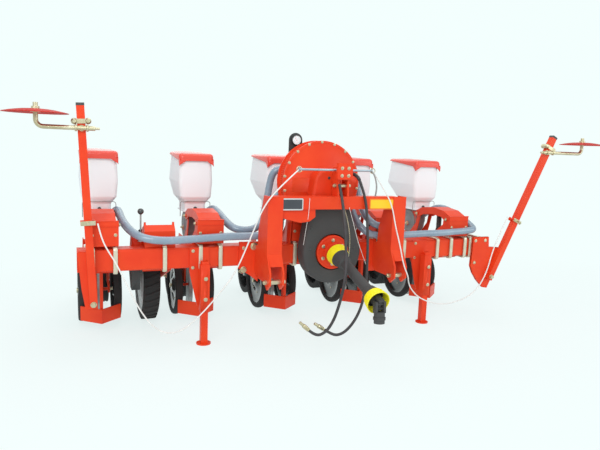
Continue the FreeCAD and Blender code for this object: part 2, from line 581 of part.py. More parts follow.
def drive_unit():
    """Carrier of the drive wheel: clamp on the bar, two arms, axle, gear case, lever, chain case."""
    piece = Piece("drive_unit", x="drive_x")
    back = "bar_size + seat_gap"
    top = "bar_bottom + bar_size"
    piece.add("front", back, f"{back} + clamp_plate",
              Rect("-90", "bar_bottom - 34", "90", f"{top} + 34"))
    for side in ("-drive_arm_x - 10", "drive_arm_x"):
        piece.add("side", side, f"{side} + 10", Poly(
            (back, "bar_bottom - 34"), (back, f"{top} + 34"), (f"{back} + 60", f"{top} + 20"),
            ("drive_y + 20", "drive_radius + 34"), ("drive_y + 34", "drive_radius"),
            ("drive_y + 16", "drive_radius - 30"), ("drive_y - 30", "drive_radius - 26")))
    piece.add("side", "-drive_arm_x - 16", "drive_arm_x + 16",
              Circle("drive_y", "drive_radius", "axle_radius"))
    piece.add("side", "-drive_arm_x", "-drive_half - 6",
              Circle("drive_y", "drive_radius", "30"))
    piece.add("side", "drive_half + 6", "drive_arm_x",
              Circle("drive_y", "drive_radius", "30"))
    # gear case over the bar
    piece.add("side", "-78", "96", Poly(
        ("20", f"{top} + seat_gap"), ("20", f"{top} + 96"), ("60", f"{top} + 128"),
        ("150", f"{top} + 100"), (f"{back} + clamp_plate + 40", f"{top} + seat_gap + 30"),
        (f"{back} + clamp_plate", f"{top} + seat_gap + 20"), (f"{back}", f"{top} + seat_gap")))
    for side in ("-78", "84"):
        piece.add("side", side, f"{side} + 12", Poly(
            ("44", f"{top} + 100"), ("92", f"{top} + 100"), ("68", f"{top} + 144")))
    piece.cut("front", "-20", f"{back} + 30",
              Circle("drive_bolt_x - drive_x", f"{top} + rod_radius + seat_gap", "rod_radius + hole_gap"),
              Circle("drive_bolt_x - drive_x", "bar_bottom - rod_radius - seat_gap",
                     "rod_radius + hole_gap"))
    # chain case beside the wheel
    piece.add("side", "-drive_arm_x - 60", "-drive_arm_x - 10", Poly(
        ("300", "bar_bottom - 60"), ("300", "bar_bottom + 30"), ("200", f"{top} + 60"),
        (f"{back} + 20", f"{top} + 60"), (f"{back} + 20", "bar_bottom - 150"), ("220", "bar_bottom - 150")))
    # setting lever
    piece.add("top", f"{top} + 50", f"{top} + 210", Circle("-96", "60", "5"))
    piece.add("side", "-106", "-70", Circle("60", f"{top} + 60", "12"))
    piece.add("top", f"{top} + 190", f"{top} + 226", Circle("-96", "60", "17"))


# ------------------------------------------------------------------ stands

def back_plate(piece, x):
    """Plate behind the bar that takes the two legs of a U-bolt."""
    back = "bar_size + seat_gap"
    top = "bar_bottom + bar_size"
    piece.add("front", back, f"{back} + clamp_plate", Rect(
        f"{x} - 22", "bar_bottom - 30", f"{x} + 22", f"{top} + 30"))
    piece.cut("front", f"{back} - 5", f"{back} + clamp_plate + 5",
              Circle(x, f"{top} + rod_radius + seat_gap", "rod_radius + hole_gap"),
              Circle(x, "bar_bottom - rod_radius - seat_gap", "rod_radius + hole_gap"))


def stand_sleeves(piece):
    """Square sleeves bolted to the bar's front, one for each parking stand."""
    for x in ("stand_left_x", "stand_right_x"):
        half = "sleeve_size / 2"
        piece.add("top", "sleeve_bottom", "sleeve_top",
                  Rect(f"{x} - {half}", f"stand_y - {half}", f"{x} + {half}", f"stand_y + {half}"))
        piece.cut("top", "sleeve_bottom - 5", "sleeve_top + 5",
                  Rect(f"{x} - {half} + sleeve_wall", f"stand_y - {half} + sleeve_wall",
                       f"{x} + {half} - sleeve_wall", f"stand_y + {half} - sleeve_wall"))
        piece.add("front", "-stand_plate - seat_gap", "-seat_gap", Poly(
            (f"{x} - 78", "bar_bottom + bar_size"), (f"{x} + 34", "bar_bottom + bar_size"),
            (f"{x} + 44", "bar_bottom - 20"), (f"{x} + 30", "sleeve_bottom + 20"),
            (f"{x} - 30", "sleeve_bottom + 20"), (f"{x} - 78", "bar_bottom - 20")))
        piece.add("side", f"{x} + 2", f"{x} + 14", Rect(
            f"stand_y + {half} - 1", "sleeve_bottom + 30", "-12", "sleeve_top - 10"))
        for level in ("0.28", "0.72"):
            piece.add("front", f"stand_y - {half} - 14", f"stand_y - {half} + 1", Circle(
                x, f"sleeve_bottom + (sleeve_top - sleeve_bottom) * {level}", "9"))
    # wider plate for the right stand, under two U-bolts, with a bar behind them
    piece.add("front", "-stand_plate - seat_gap", "-seat_gap", Rect(
        "stand_right_x - 176", "bar_bottom + 8", "stand_right_x + 142", "bar_bottom + bar_size - 8"))
    back_plate(piece, "stand_right_x - 154")
    back_plate(piece, "stand_right_x + 120")
    # slot over the second row's U-bolt
    piece.cut("front", "-14", "2", Rect(
        "-row_spacing - ubolt_offset - rod_radius - hole_gap", "bar_bottom - 18",
        "-row_spacing - ubolt_offset + rod_radius + hole_gap", "bar_bottom + bar_size + 18"))


def marker_brackets(piece):
    """Pairs of plates at the bar's ends that carry the marker arms' pivot pins."""
    half = "(marker_arm / 2 + 6)"
    top = "bar_bottom + bar_size"
    left = Poly(("marker_left_x + 40", top), ("-bar_left", top), ("marker_left_x - 60", "marker_left_z + 80"),
                ("marker_left_x - 40", "marker_left_z - 34"), ("marker_left_x + 30", "marker_left_z - 44"),
                ("marker_left_x + 70", "bar_bottom - 20"))
    right = Poly(("marker_right_x - 150", f"{top} + 14"), ("bar_right - 6", f"{top} + 14"),
                 ("bar_right - 6", "bar_bottom + 62"), ("marker_right_x + 84", "bar_bottom + 58"),
                 ("marker_right_x + 86", "bar_bottom - 4"),
                 ("marker_right_x + 56", "marker_right_z + 60"),
                 ("marker_right_x + 36", "marker_right_z - 30"),
                 ("marker_right_x + 6", "marker_right_z - 94"),
                 ("marker_right_x - 36", "marker_right_z - 86"),
                 ("marker_right_x - 92", "marker_right_z - 30"),
                 ("marker_right_x - 134", "marker_right_z + 24"),
                 ("marker_right_x - 160", "bar_bottom - 70"),
                 ("marker_right_x - 152", "bar_bottom - 34"))
    for sign, outline, x, z in (("-", left, "marker_left_x", "marker_left_z"),
                                ("", right, "marker_right_x", "marker_right_z")):
        for near in (f"marker_y - {half} - 10", f"marker_y + {half}"):
            piece.add("front", near, f"{near} + 10", outline)
        piece.add("front", f"marker_y - {half} - 16", f"marker_y + {half} + 16",
                  Circle(x, z, "marker_pin"))
        piece.add("front", f"marker_y + {half} + 8", "-seat_gap", Rect(
            f"{x} - ({sign}46) - 24", "bar_bottom + 4", f"{x} - ({sign}46) + 24",
            "bar_bottom + bar_size - 4"))
    # web between the right bracket's plates, and the bar behind its U-bolts
    piece.add("side", "marker_right_x - 148", "marker_right_x - 138", Rect(
        f"marker_y - {half} - 2", "bar_bottom", f"marker_y + {half} + 2", top))
    back_plate(piece, "marker_right_x - 156")
    back_plate(piece, "marker_right_x - 82")


def bar_brackets():
    piece = Piece("bar_brackets")
    stand_sleeves(piece)
    marker_brackets(piece)


def stand_leg(side):
    piece = Piece(f"stand_leg_{side}", x=f"stand_{side}_x", y="stand_y")
    half = "leg_size / 2"
    piece.add("top", "0", "foot_plate", Circle("0", "0", "foot_radius"))
    piece.add("top", "foot_plate", "leg_top", Rect(f"-{half}", f"-{half}", half, half))
    piece.cut("top", "foot_plate + 4", "leg_top + 5",
              Rect(f"-{half} + leg_wall", f"-{half} + leg_wall", f"{half} - leg_wall", f"{half} - leg_wall"))


# ------------------------------------------------------------------ headstock

def headstock():
    """Cross beam, two legs of paired plates with the lower hitch pins, and the top link's mast."""
    piece = Piece("headstock", x="hitch_x")
    half = "hitch_spread / 2"
    beam_top = "beam_bottom + beam_height"
    piece.add("side", f"-{half} - 12", f"{half} - 12", Rect(
        "beam_front", "beam_bottom", "beam_front + beam_depth", beam_top))
    piece.cut("side", f"-{half} - 13", f"{half} - 11", Rect(
        "beam_front + beam_wall", "beam_bottom + beam_wall", "beam_front + beam_depth - beam_wall",
        f"{beam_top} - beam_wall"))
    cheek = Poly(("beam_front - 5", beam_top), ("beam_front + beam_depth + 6", beam_top),
                 ("-110", "beam_bottom - 60"), ("-76", "bar_bottom + bar_size + 110"),
                 ("-70", "bar_bottom + bar_size + 14"), ("0 - seat_gap", "bar_bottom + bar_size"),
                 ("0 - seat_gap", "bar_bottom - 10"), ("-60", "bar_bottom - 60"),
                 ("hitch_y + lug_radius", "hitch_z - 10"), ("hitch_y", "hitch_z - lug_radius"),
                 ("hitch_y - lug_radius", "hitch_z - 10"), ("hitch_y - lug_radius", "hitch_z + 60"),
                 ("beam_front - 5", "hitch_z + 160"))
    web = Poly(("beam_front - 5", beam_top), ("beam_front + 1", beam_top),
               ("beam_front + 1", "hitch_z + 161"), ("hitch_y - lug_radius + 20", "hitch_z + 96"),
               ("hitch_y - lug_radius + 14", "hitch_z + 96"), ("beam_front - 5", "hitch_z + 160"))
    for sign in ("-", ""):
        for offset in ("-lug_gap / 2 - lug_plate", "lug_gap / 2"):
            start = f"{sign}{half} + ({offset})"
            piece.add("side", start, f"{start} + lug_plate", cheek)
        piece.add("side", f"{sign}{half} - lug_gap / 2 - 1", f"{sign}{half} + lug_gap / 2 + 1", web)
        piece.add("front", "-14 - seat_gap", "-seat_gap", Rect(
            f"{sign}{half} + 16", "bar_bottom - 70", f"{sign}{half} + 76",
            "bar_bottom + bar_size + 20"))
        piece.add("side", f"{sign}{half} - lug_gap / 2 - lug_plate - 14",
                  f"{sign}{half} + lug_gap / 2 + lug_plate + 14", Circle("hitch_y", "hitch_z", "hitch_pin"))
    piece.add("front", "-14 - seat_gap", "-seat_gap", Rect(
        f"{half} - 76", "bar_bottom - 70", f"{half} - 22", "bar_bottom + bar_size + 20"))
    # wide gusset plate beside the left leg and the curved one under the beam
    piece.add("front", "-14 - seat_gap", "-seat_gap", Poly(
        (f"-{half} - 144", "bar_bottom + bar_size + 26"), (f"-{half} - 22", "bar_bottom + bar_size + 26"),
        (f"-{half} - 22", "bar_bottom - 100"), (f"-{half} - 76", "bar_bottom - 56"),
        (f"-{half} - 144", "bar_bottom - 14")))
    piece.add("front", "beam_front + 13", "beam_front + 25", Poly(
        (f"-{half} + 30", "beam_bottom + 2"), (f"-{half} + 256", "beam_bottom + 2"),
        (f"-{half} + 258", "beam_bottom - 46"), (f"-{half} + 222", "beam_bottom - 72"),
        (f"-{half} + 164", "beam_bottom - 80"), (f"-{half} + 104", "beam_bottom - 66"),
        (f"-{half} + 30", "beam_bottom - 46")))
    mast = Poly(("top_y - 30", f"{beam_top} - 8"), ("top_y + 60", f"{beam_top} - 8"),
                ("top_y + 44", "hitch_z + mast_height + 60"), ("top_y - 20", "hitch_z + mast_height + 60"))
    for offset in ("-top_gap / 2 - top_plate", "top_gap / 2"):
        piece.add("side", f"20 + {offset}", f"20 + {offset} + top_plate", mast)
    piece.add("side", "20 - top_gap / 2 - top_plate - 14", "20 + top_gap / 2 + top_plate + 14",
              Circle("top_y", "hitch_z + mast_height - 50", "top_pin"))
    piece.add("side", "20 - top_gap / 2 - top_plate", "20 + top_gap / 2 + top_plate", Rect(
        "top_y + 20", "hitch_z + mast_height + 10", "top_y + 36", "hitch_z + mast_height + 56"))
    # cross rod that guides the marker ropes
    piece.add("side", "-262", "218", Circle("top_y - 12", "hitch_z + mast_height + 44", "7"))


def fan_housing():
    """Round fan casing with a bolted rim, an intake box below and feet on the bar."""
    piece = Piece("fan_housing", x="fan_x", z="fan_z")
    back = "fan_front + fan_depth"
    piece.add("front", "fan_front", back, Circle("0", "0", "fan_radius - 12"))
    piece.add("front", "fan_front", "fan_front + 10", Circle("0", "0", "fan_radius"))
    piece.add("front", f"{back} - 10", back, Circle("0", "0", "fan_radius"))
    piece.add("front", "fan_front - 12", "fan_front", Poly(
        ("-200", "26"), ("200", "26"), ("206", "-60"), ("180", "-190"), ("60", "-250"), ("-60", "-250"),
        ("-180", "-190"), ("-206", "-60")))
    # suction drum behind the casing, with stubs for the hoses
    piece.add("front", back, f"{back} + drum_depth", Circle("0", "0", "drum_radius"))
    for height in ("-stub_rise", "stub_rise"):
        piece.add("side", "-stub_reach", "stub_reach",
                  Circle(f"{back} + drum_depth / 2", height, "vacuum_hose - 3"))
    # room for the middle row's bracket and link
    piece.cut("front", "fan_front + 16", f"{back} + 5", Rect(
        "-fan_x - bracket_half - 14", "-fan_radius - 5", "-fan_x + bracket_half + 14",
        "upper_pivot_z + 58 - fan_z"))
    # slanting inlet under the drum for the middle row's hose
    piece.add("side", "19", "79", Poly(("153", "-170"), ("193", "-126"), ("186", "-105"), ("186", "-80"),
                                       ("110", "-80"), ("110", "-128")))
    foot = "bar_bottom + bar_size - fan_z"
    for x in ("-190", "150"):
        piece.add("side", x, f"{x} + 10", Poly(
            ("10", f"{foot} + seat_gap"), ("bar_size - 10", f"{foot} + seat_gap"),
            (f"{back} - 20", "-180"), ("fan_front + 20", "-180")))


def belt_guard():
    """Teardrop guard round the drive pulley and the fan's pulley."""
    piece = Piece("belt_guard", x="pulley_x", z="pulley_z")
    end = "guard_front + guard_depth"
    rise = "fan_z - pulley_z"
    slant = "fan_x - pulley_x"
    piece.add("front", "guard_front", end, Circle("0", "0", "guard_radius"))
    piece.add("front", "guard_front", end, Circle(slant, rise, "guard_small"))
    piece.add("front", "guard_front", end, Poly(
        ("-guard_radius * 0.968", "guard_radius * 0.25"), ("guard_radius * 0.968", "guard_radius * 0.25"),
        (f"{slant} + guard_small * 0.968", f"{rise} + guard_small * 0.25"),
        (f"{slant} - guard_small * 0.968", f"{rise} + guard_small * 0.25")))
    piece.cut("front", "guard_front - 5", f"{end} - 6", Circle("0", "0", "pulley_radius + 6"))
    # stand-offs on the bar's front, and the bearing of the pulley's shaft
    piece.add("front", f"{end} - 1", "-seat_gap", Circle("0", "0", "34"))
    for across in ("-155", "155"):
        piece.add("front", f"{end} - 1", "-seat_gap", Circle(across, "-20", "12"))
    piece.cut("front", f"{end} - 10", "5", Circle("0", "0", "stub_radius + hole_gap"))


def drive_pulley():
    piece = Piece("drive_pulley", x="pulley_x", z="pulley_z")
    end = "guard_front + guard_depth"
    piece.add("front", "guard_front - 2", f"{end} - 10", Circle("0", "0", "pulley_radius"))
    piece.add("front", "guard_front - 60", "-8", Circle("0", "0", "stub_radius"))


def pto_pieces():
    """Telescopic drive shaft, hanging down and forward, inside its guard tube and cones."""
    turn = Rotation(Vector(1, 0, 0), size("shaft_droop"))
    start = ("pulley_x", "guard_front - 63.6", "pulley_z")
    guard = Piece("pto_guard", *start, rotation=turn)
    far = "-shaft_length"
    guard.turn("side", "H_Axis", Poly(
        ("0", "cone_radius"), ("-58", "cone_radius - 8"), ("-60", "bell_radius"),
        ("-122", "tube_radius + 9"), ("-128", "tube_radius"), (f"{far} + 132", "tube_radius"),
        (f"{far} + 126", "tube_radius + 9"), (f"{far} + 72", "bell_radius"),
        (f"{far} + 70", "cone_radius - 8"), (f"{far} + 12", "cone_radius"),
        (f"{far} + 12", "cone_radius - 4"), (f"{far} + 74", "bell_radius - 4"),
        (f"{far} + 128", "tube_radius + 5"), (f"{far} + 136", "tube_radius - 4"),
        ("-132", "tube_radius - 4"), ("-120", "tube_radius + 5"), ("-64", "bell_radius - 4"),
        ("0", "cone_radius - 4")))
    for place_on in ("-150", f"{far} + 140"):
        guard.add("front", place_on, f"{place_on} + 10", Circle("0", "0", "tube_radius - 2"))
        guard.cut("front", f"{place_on} - 5", f"{place_on} + 15", Circle("0", "0", "shaft_radius + hole_gap"))
    tube = Piece("pto_shaft_tube", *start, rotation=turn)
    tube.add("front", f"{far} + 40", "-30", Circle("0", "0", "shaft_radius"))
    tube.add("front", "-31", "0", Circle("0", "0", "10"))
    tube.add("front", "-62", "-16", Circle("0", "0", "shaft_radius + 8"))
    tube.add("front", f"{far} + 36", f"{far} + 62", Circle("0", "0", "shaft_radius + 12"))
    for near, end in (("18", "31"), ("-31", "-18")):
        tube.add("top", near, end, Rect("-16", f"{far} - 14", "16", f"{far} + 50"))
    tube.add("top", "-34", "34", Circle("0", far, "9"))
    yoke = Piece("pto_shaft_yoke", "pulley_x",
                 "guard_front - 63.6 - shaft_length * cos(shaft_droop)",
                 "pulley_z - shaft_length * sin(shaft_droop)",
                 rotation=Rotation(Vector(1, 0, 0), size("yoke_droop")))
    for near, end in (("18", "31"), ("-31", "-18")):
        yoke.add("side", near, end, Rect("-48", "-16", "14", "16"))
    yoke.add("side", "-34", "34", Circle("0", "0", "9"))
    yoke.add("front", "-104", "-42", Circle("0", "0", "yoke_bore + 12"))
    yoke.add("front", "-84", "-70", Circle("0", "0", "yoke_bore + 16"))
    yoke.cut("front", "-110", "-44", Circle("0", "0", "yoke_bore"))
    joined("pto_shaft", tube, yoke)


def vacuum_gauge():
    """Gauge on a round-topped bracket behind the fan casing."""
    piece = Piece("vacuum_gauge", x="-40", z="1223")
    y = "fan_front + fan_depth + seat_gap"
    piece.add("front", f"{y} + 16", f"{y} + 22", Circle("0", "0", "45"))
    piece.add("front", f"{y} + 16", f"{y} + 22", Rect("-45", "-105", "45", "0"))
    piece.add("front", y, f"{y} + 17", Circle("0", "0", "31.5"))


# ------------------------------------------------------------------ markers

def marker(side, sign):
    """A square marker arm leaning outward, with the level rod that carries its disc, and the disc."""
    out = "-" if sign < 0 else ""
    where = (f"marker_{side}_x", "marker_y", f"marker_{side}_z")
    arm = Piece(f"marker_arm_{side}", *where)
    half = "marker_arm / 2"
    lean = f"marker_{side}_tilt"

    def on_arm(across, up):
        return (f"{out}1 * (({up}) * sin({lean}) + ({across}) * cos({lean}))",
                f"({up}) * cos({lean}) - ({across}) * sin({lean})")

    top = "marker_length - 70"
    arm.add("front", f"-{half}", half, Poly(on_arm(f"-{half}", "-24"), on_arm(half, "-24"),
                                            on_arm(half, top), on_arm(f"-{half}", top)))
    arm.cut("front", f"-{half} + arm_wall", f"{half} - arm_wall", Poly(
        on_arm(f"-{half} + arm_wall", "40"), on_arm(f"{half} - arm_wall", "40"),
        on_arm(f"{half} - arm_wall", f"{top} - arm_wall"),
        on_arm(f"-{half} + arm_wall", f"{top} - arm_wall")))
    arm.cut("front", f"-{half} - 5", f"{half} + 5", Circle("0", "0", "marker_pin + hole_gap"))
    joint = f"marker_{side}_rod"
    depth = f"-{half} - marker_rod - 2"
    start, level = on_arm("0", joint)
    reach = f"{start} + {out}marker_{side}_reach"
    arm.bent_rod((start, level), (reach, level), (reach, f"{level} + rod_rise"),
                 "34", "marker_rod", depth, sign)
    arm.add("front", depth, "0", Circle(start, level, "marker_rod + 4"))
    # clamps of the rod and of the rope: a strap on each face and two bolts
    for height in (f"{joint} + 36", "rope_clamp"):
        for near in (f"-{half} - 7", f"{half} - 1"):
            arm.add("front", near, f"{near} + 8", Poly(
                on_arm("-38", f"{height} - 12"), on_arm("38", f"{height} - 12"),
                on_arm("38", f"{height} + 12"), on_arm("-38", f"{height} + 12")))
        for across in ("-30", "30"):
            arm.add("front", f"-{half} - 14", f"{half} + 14", Circle(*on_arm(across, height), "6"))
    arm.add("front", f"-{half} - 31", f"-{half} - 6", Circle(*on_arm("0", "rope_clamp"), "7"))
    # collars that hold the disc
    disc_z = f"{level} + rod_rise - 36"
    arm.add("top", f"{disc_z} - 12", f"{disc_z} - seat_gap", Circle(reach, depth, "marker_rod + 12"))
    arm.add("top", f"{disc_z} + disc_plate + seat_gap", f"{disc_z} + disc_plate + 12",
            Circle(reach, depth, "marker_rod + 8"))
    disc = Piece(f"marker_disc_{side}", f"{where[0]} + {reach}", f"marker_y + {depth}",
                 f"{where[2]} + {disc_z}")
    disc.turn("front", "V_Axis", Poly(
        ("marker_rod + hole_gap", "0"), ("disc_radius * 0.3", "0"), ("disc_radius * 0.7", "disc_dish * 0.4"),
        ("disc_radius", "disc_dish"), ("disc_radius", "disc_dish + disc_plate"),
        ("disc_radius * 0.7", "disc_dish * 0.4 + disc_plate"), ("disc_radius * 0.3", "disc_plate"),
        ("marker_rod + hole_gap", "disc_plate")))


# ------------------------------------------------------------------ cords

def cord(label, radius, points):
    """A tube along straight runs joined by tangent arcs; prints its radii."""
    points = [Vector(*p) - Vector(size("origin_x"), size("origin_y"), 0) for p in points]
    runs = [(b - a).Length for a, b in zip(points, points[1:])]
    edges, start, radii = [], points[0], []
    for i in range(1, len(points) - 1):
        before = (points[i] - points[i - 1]).normalize()
        after = (points[i + 1] - points[i]).normalize()
        half = before.getAngle(after) / 2
        cut = 0.45 * min(runs[i - 1], runs[i])
        radii.append(cut / math.tan(half))
        enter = points[i] - before * cut
        leave = points[i] + after * cut
        inward = (after - before).normalize()
        middle = points[i] + inward * (radii[-1] / math.cos(half) - radii[-1])
        edges.append(Part.LineSegment(start, enter).toShape())
        edges.append(Part.Arc(enter, middle, leave).toShape())
        start = leave
    edges.append(Part.LineSegment(start, points[-1]).toShape())
    path = Part.Wire(edges)
    ring = Part.Wire(Part.Circle(points[0], points[1] - points[0], radius).toShape())
    tube = path.makePipeShell([ring], True, True)
    print(label, "radii", [round(r) for r in radii], "volume", round(tube.Volume /
          (math.pi * radius ** 2 * path.Length), 4))
    return tube


def soft(label, radius, *routes):
    """One node of tubes that don't touch, one for each route."""
    tubes = [cord(label, radius, route) for route in routes]
    feature = doc.addObject("Part::Feature", label)
    feature.Label = label
    feature.Shape = tubes[0] if len(tubes) == 1 else Part.makeCompound(tubes)
    PIECES.append(feature)


HOSE_ROW_1 = [(-1096, 366, 752), (-1094, 300, 742), (-1088, 200, 714), (-1072, 110, 688),
              (-1044, 38, 662), (-1000, -20, 641), (-940, -38, 628), (-860, -40, 622),
              (-760, -36, 625), (-640, -34, 631), (-520, -34, 637), (-400, -33, 636),
              (-300, -34, 637), (-238, -24, 652), (-194, 18, 694), (-180, 94, 764),
              (-150, 135, 890), (-65.4, 135, 890)]
HOSE_ROW_2 = [(-496, 366, 760), (-494, 300, 752), (-490, 205, 734), (-480, 115, 706), (-456, 52, 678),
              (-410, 30, 664), (-345, 34, 662), (-290, 68, 684), (-266, 118, 748), (-264, 146, 830),
              (-258, 152, 925), (-232, 146, 1006), (-176, 135, 1040), (-65.4, 135, 1040)]
HOSE_ROW_3 = [(106, 366, 756), (112, 300, 758), (130, 234, 769), (144, 201.6, 791.2),
              (144, 173.4, 816.6)]
HOSE_ROW_4 = [(704, 366, 752), (710, 290, 742), (722, 200, 722), (732, 105, 700), (728, 20, 684),
              (700, -40, 674), (620, -38, 672), (540, -36, 678), (480, -22, 698), (450, 36, 748),
              (447, 104, 828), (440, 140, 922), (412, 145, 1004), (358, 135, 1040), (255.4, 135, 1040)]
HOSE_ROW_5 = [(1304, 366, 758), (1308, 290, 752), (1320, 200, 724), (1334, 100, 688),
              (1330, 18, 656), (1302, -40, 642), (1226, -38, 635), (1130, -38, 631), (1010, -39, 624),
              (885, -38, 624), (765, -37, 620), (645, -37, 618), (530, -35, 618), (446, -20, 632),
              (396, 24, 690), (382, 92, 772), (346, 135, 890), (255.4, 135, 890)]
HYDRAULIC_LEFT = [(118, -233.4, 968), (118, -284, 880), (112, -332, 775), (94, -396, 668),
                  (83, -436, 566), (76, -452, 467), (65, -452, 378), (48, -442, 284), (24, -432, 196),
                  (-16, -421, 128), (-74, -410, 104), (-118, -402, 144)]
HYDRAULIC_RIGHT = [(256, -226, 996), (280, -240, 930), (298, -250, 850), (310, -256, 740),
                   (319, -261, 600), (317, -270, 458), (303, -290, 328), (262, -320, 222),
                   (202, -348, 146), (134, -370, 98), (72, -382, 86), (18, -389, 112),
                   (-18, -390, 136)]
ROPE_LEFT = [(-1236, -112, 738), (-1222, -118, 671), (-1193, -124, 600), (-1147, -130, 525),
             (-1096, -136, 410), (-1024, -141, 252), (-931, -144, 124), (-812, -144, 100),
             (-690, -146, 196), (-560, -152, 345), (-486, -162, 450), (-410, -204, 670),
             (-366, -248, 826), (-290, -262, 935), (-135, -212, 1052)]
ROPE_RIGHT = [(1535, -112, 741), (1474, -118, 627), (1416, -122, 500), (1374, -126, 340),
              (1292, -131, 218), (1172, -134, 157), (986, -138, 135), (806, -143, 196),
              (722, -152, 276), (650, -230, 345), (592, -312, 400), (545, -320, 480), (525, -300, 600),
              (505, -262, 720), (485, -256, 820), (440, -258, 910), (352, -212, 1052)]


def cords():
    soft("vacuum_hoses", size("vacuum_hose"), HOSE_ROW_1, HOSE_ROW_2, HOSE_ROW_3, HOSE_ROW_4,
         HOSE_ROW_5)
    soft("hydraulic_hose_left", size("hydraulic_hose"), HYDRAULIC_LEFT)
    soft("hydraulic_hose_right", size("hydraulic_hose"), HYDRAULIC_RIGHT)
    soft("rope_left", size("rope"), ROPE_LEFT)
    soft("rope_right", size("rope"), ROPE_RIGHT)


def hose_couplings():
    """Quick couplers on the free ends of the hydraulic hoses."""
    for label, route in (("hose_couplings", (HYDRAULIC_LEFT, HYDRAULIC_RIGHT)),):
        solids = []
        for points in route:
            end, before = Vector(*points[-1]), Vector(*points[-2])
            end -= Vector(size("origin_x"), size("origin_y"), 0)
            before -= Vector(size("origin_x"), size("origin_y"), 0)
            way = (end - before).normalize()
            sleeve = Part.makeCylinder(size("coupler_radius"), 44, end, way)
            nose = Part.makeCylinder(size("coupler_radius") - 4, 30, end + way * 44, way)
            solids.append(sleeve.fuse(nose).removeSplitter())
        feature = doc.addObject("Part::Feature", label)
        feature.Label = label
        feature.Shape = Part.makeCompound(solids)
        PIECES.append(feature)


# ------------------------------------------------------------------ the machine

toolbar()
row_brackets()
u_bolts()
bar_brackets()
headstock()
fan_housing()
belt_guard()
drive_pulley()
pto_pieces()
vacuum_gauge()
drive_unit()
drive_wheel()
for side, sign in (("left", -1), ("right", 1)):
    stand_leg(side)
    marker(side, sign)
for row in ROWS:
    upper_link(row)
    lower_link(row)
    chassis(row)
    hopper(row)
    lid(row)
    gauge_wheels(row)
    press_wheel(row)
cords()
hose_couplings()

doc.recompute()
for thing in doc.Objects:
    if {"Invalid", "Error"} & set(thing.State):
        raise RuntimeError(f"{thing.Label} failed: {thing.getStatusString()}")
for piece in PIECES:
    if piece.Shape.isNull() or not piece.Shape.isValid() or not piece.Shape.Solids:
        raise RuntimeError(f"{piece.Label} has no valid shape")
os.makedirs("parts", exist_ok=True)
for piece in PIECES:
    piece.Shape.exportStep(f"parts/{piece.Label}.step")
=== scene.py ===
"""Looks of a mounted row crop planter: finishes, hoses, ropes, hoppers, bolts, stage and camera.

Every size is in metres. Sizes in the classes are measured from the middle row unit (x), the front
face of the toolbar (y) and the ground (z), and at() moves such a point into the model's frame.
"""
from __future__ import annotations

import logging
import math
from dataclasses import dataclass, field
from enum import Enum
from typing import Callable, Iterable, Sequence

import bmesh
import bpy
import numpy as np
from mathutils import Matrix, Vector

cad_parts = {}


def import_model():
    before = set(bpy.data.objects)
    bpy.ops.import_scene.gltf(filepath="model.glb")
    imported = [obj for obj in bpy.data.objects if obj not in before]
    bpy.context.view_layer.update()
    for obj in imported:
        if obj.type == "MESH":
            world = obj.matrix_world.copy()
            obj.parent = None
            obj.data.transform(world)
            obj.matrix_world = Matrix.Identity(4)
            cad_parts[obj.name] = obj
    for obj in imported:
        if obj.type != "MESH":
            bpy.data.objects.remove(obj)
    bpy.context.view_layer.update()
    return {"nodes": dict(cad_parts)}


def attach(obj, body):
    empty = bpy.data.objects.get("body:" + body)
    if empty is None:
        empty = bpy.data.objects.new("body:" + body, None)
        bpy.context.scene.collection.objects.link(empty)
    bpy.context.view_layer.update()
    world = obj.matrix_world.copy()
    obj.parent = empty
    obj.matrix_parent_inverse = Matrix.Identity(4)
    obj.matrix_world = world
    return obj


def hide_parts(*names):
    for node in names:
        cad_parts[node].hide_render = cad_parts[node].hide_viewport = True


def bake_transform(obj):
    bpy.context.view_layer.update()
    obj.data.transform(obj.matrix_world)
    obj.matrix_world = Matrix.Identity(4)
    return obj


LOG = logging.getLogger("planter")
Point = tuple[float, float, float]
Colour = tuple[float, float, float]
Pair = tuple[float, float]
Piece, Mesh, Socket = bpy.types.Object, bpy.types.Mesh, bpy.types.NodeSocket
Shape, Vert = bmesh.types.BMesh, bmesh.types.BMVert
RIGHT, BACK, FORWARD, UP = Vector((1, 0, 0)), Vector((0, 1, 0)), Vector((0, -1, 0)), Vector((0, 0, 1))
ORIGIN = Vector((0.3434, 0.214, 0.0))
ROWS = (1, 2, 3, 4, 5)
ROW_SPACING = 0.6
METER_AXLE, GAUGE_AXLE, PRESS_AXLE, DRIVE_AXLE = (0.578, 0.628), (0.6, 0.2), (1.03, 0.17), (0.55, 0.3)
HITCH_PIN, TOP_PIN, CROSS_ROD = (-0.25, 0.398), (-0.2, 0.958), (-0.212, 1.052)
PULLEY, FAN = (0.141, 0.539), (0.095, 0.965)
SHAFT_START, SHAFT_DROOP = -0.1986, math.radians(17.5)
MAST_FACE = -0.2352
BACKDROP = (0.9, 1.0, 0.99)
GLOW_ON_THE_MACHINE = 0.5  # the share of the floor's glow that light rays meet; the camera sees all of it


def at(x: float, y: float, z: float) -> Vector:
    """A point of the machine, moved into the model's frame."""
    return Vector((x, y, z)) - ORIGIN


def row_x(row: int) -> float:
    """Where a row unit's middle plane is along the toolbar."""
    return (row - 3) * ROW_SPACING


# ---------------------------------------------------------------- nodes

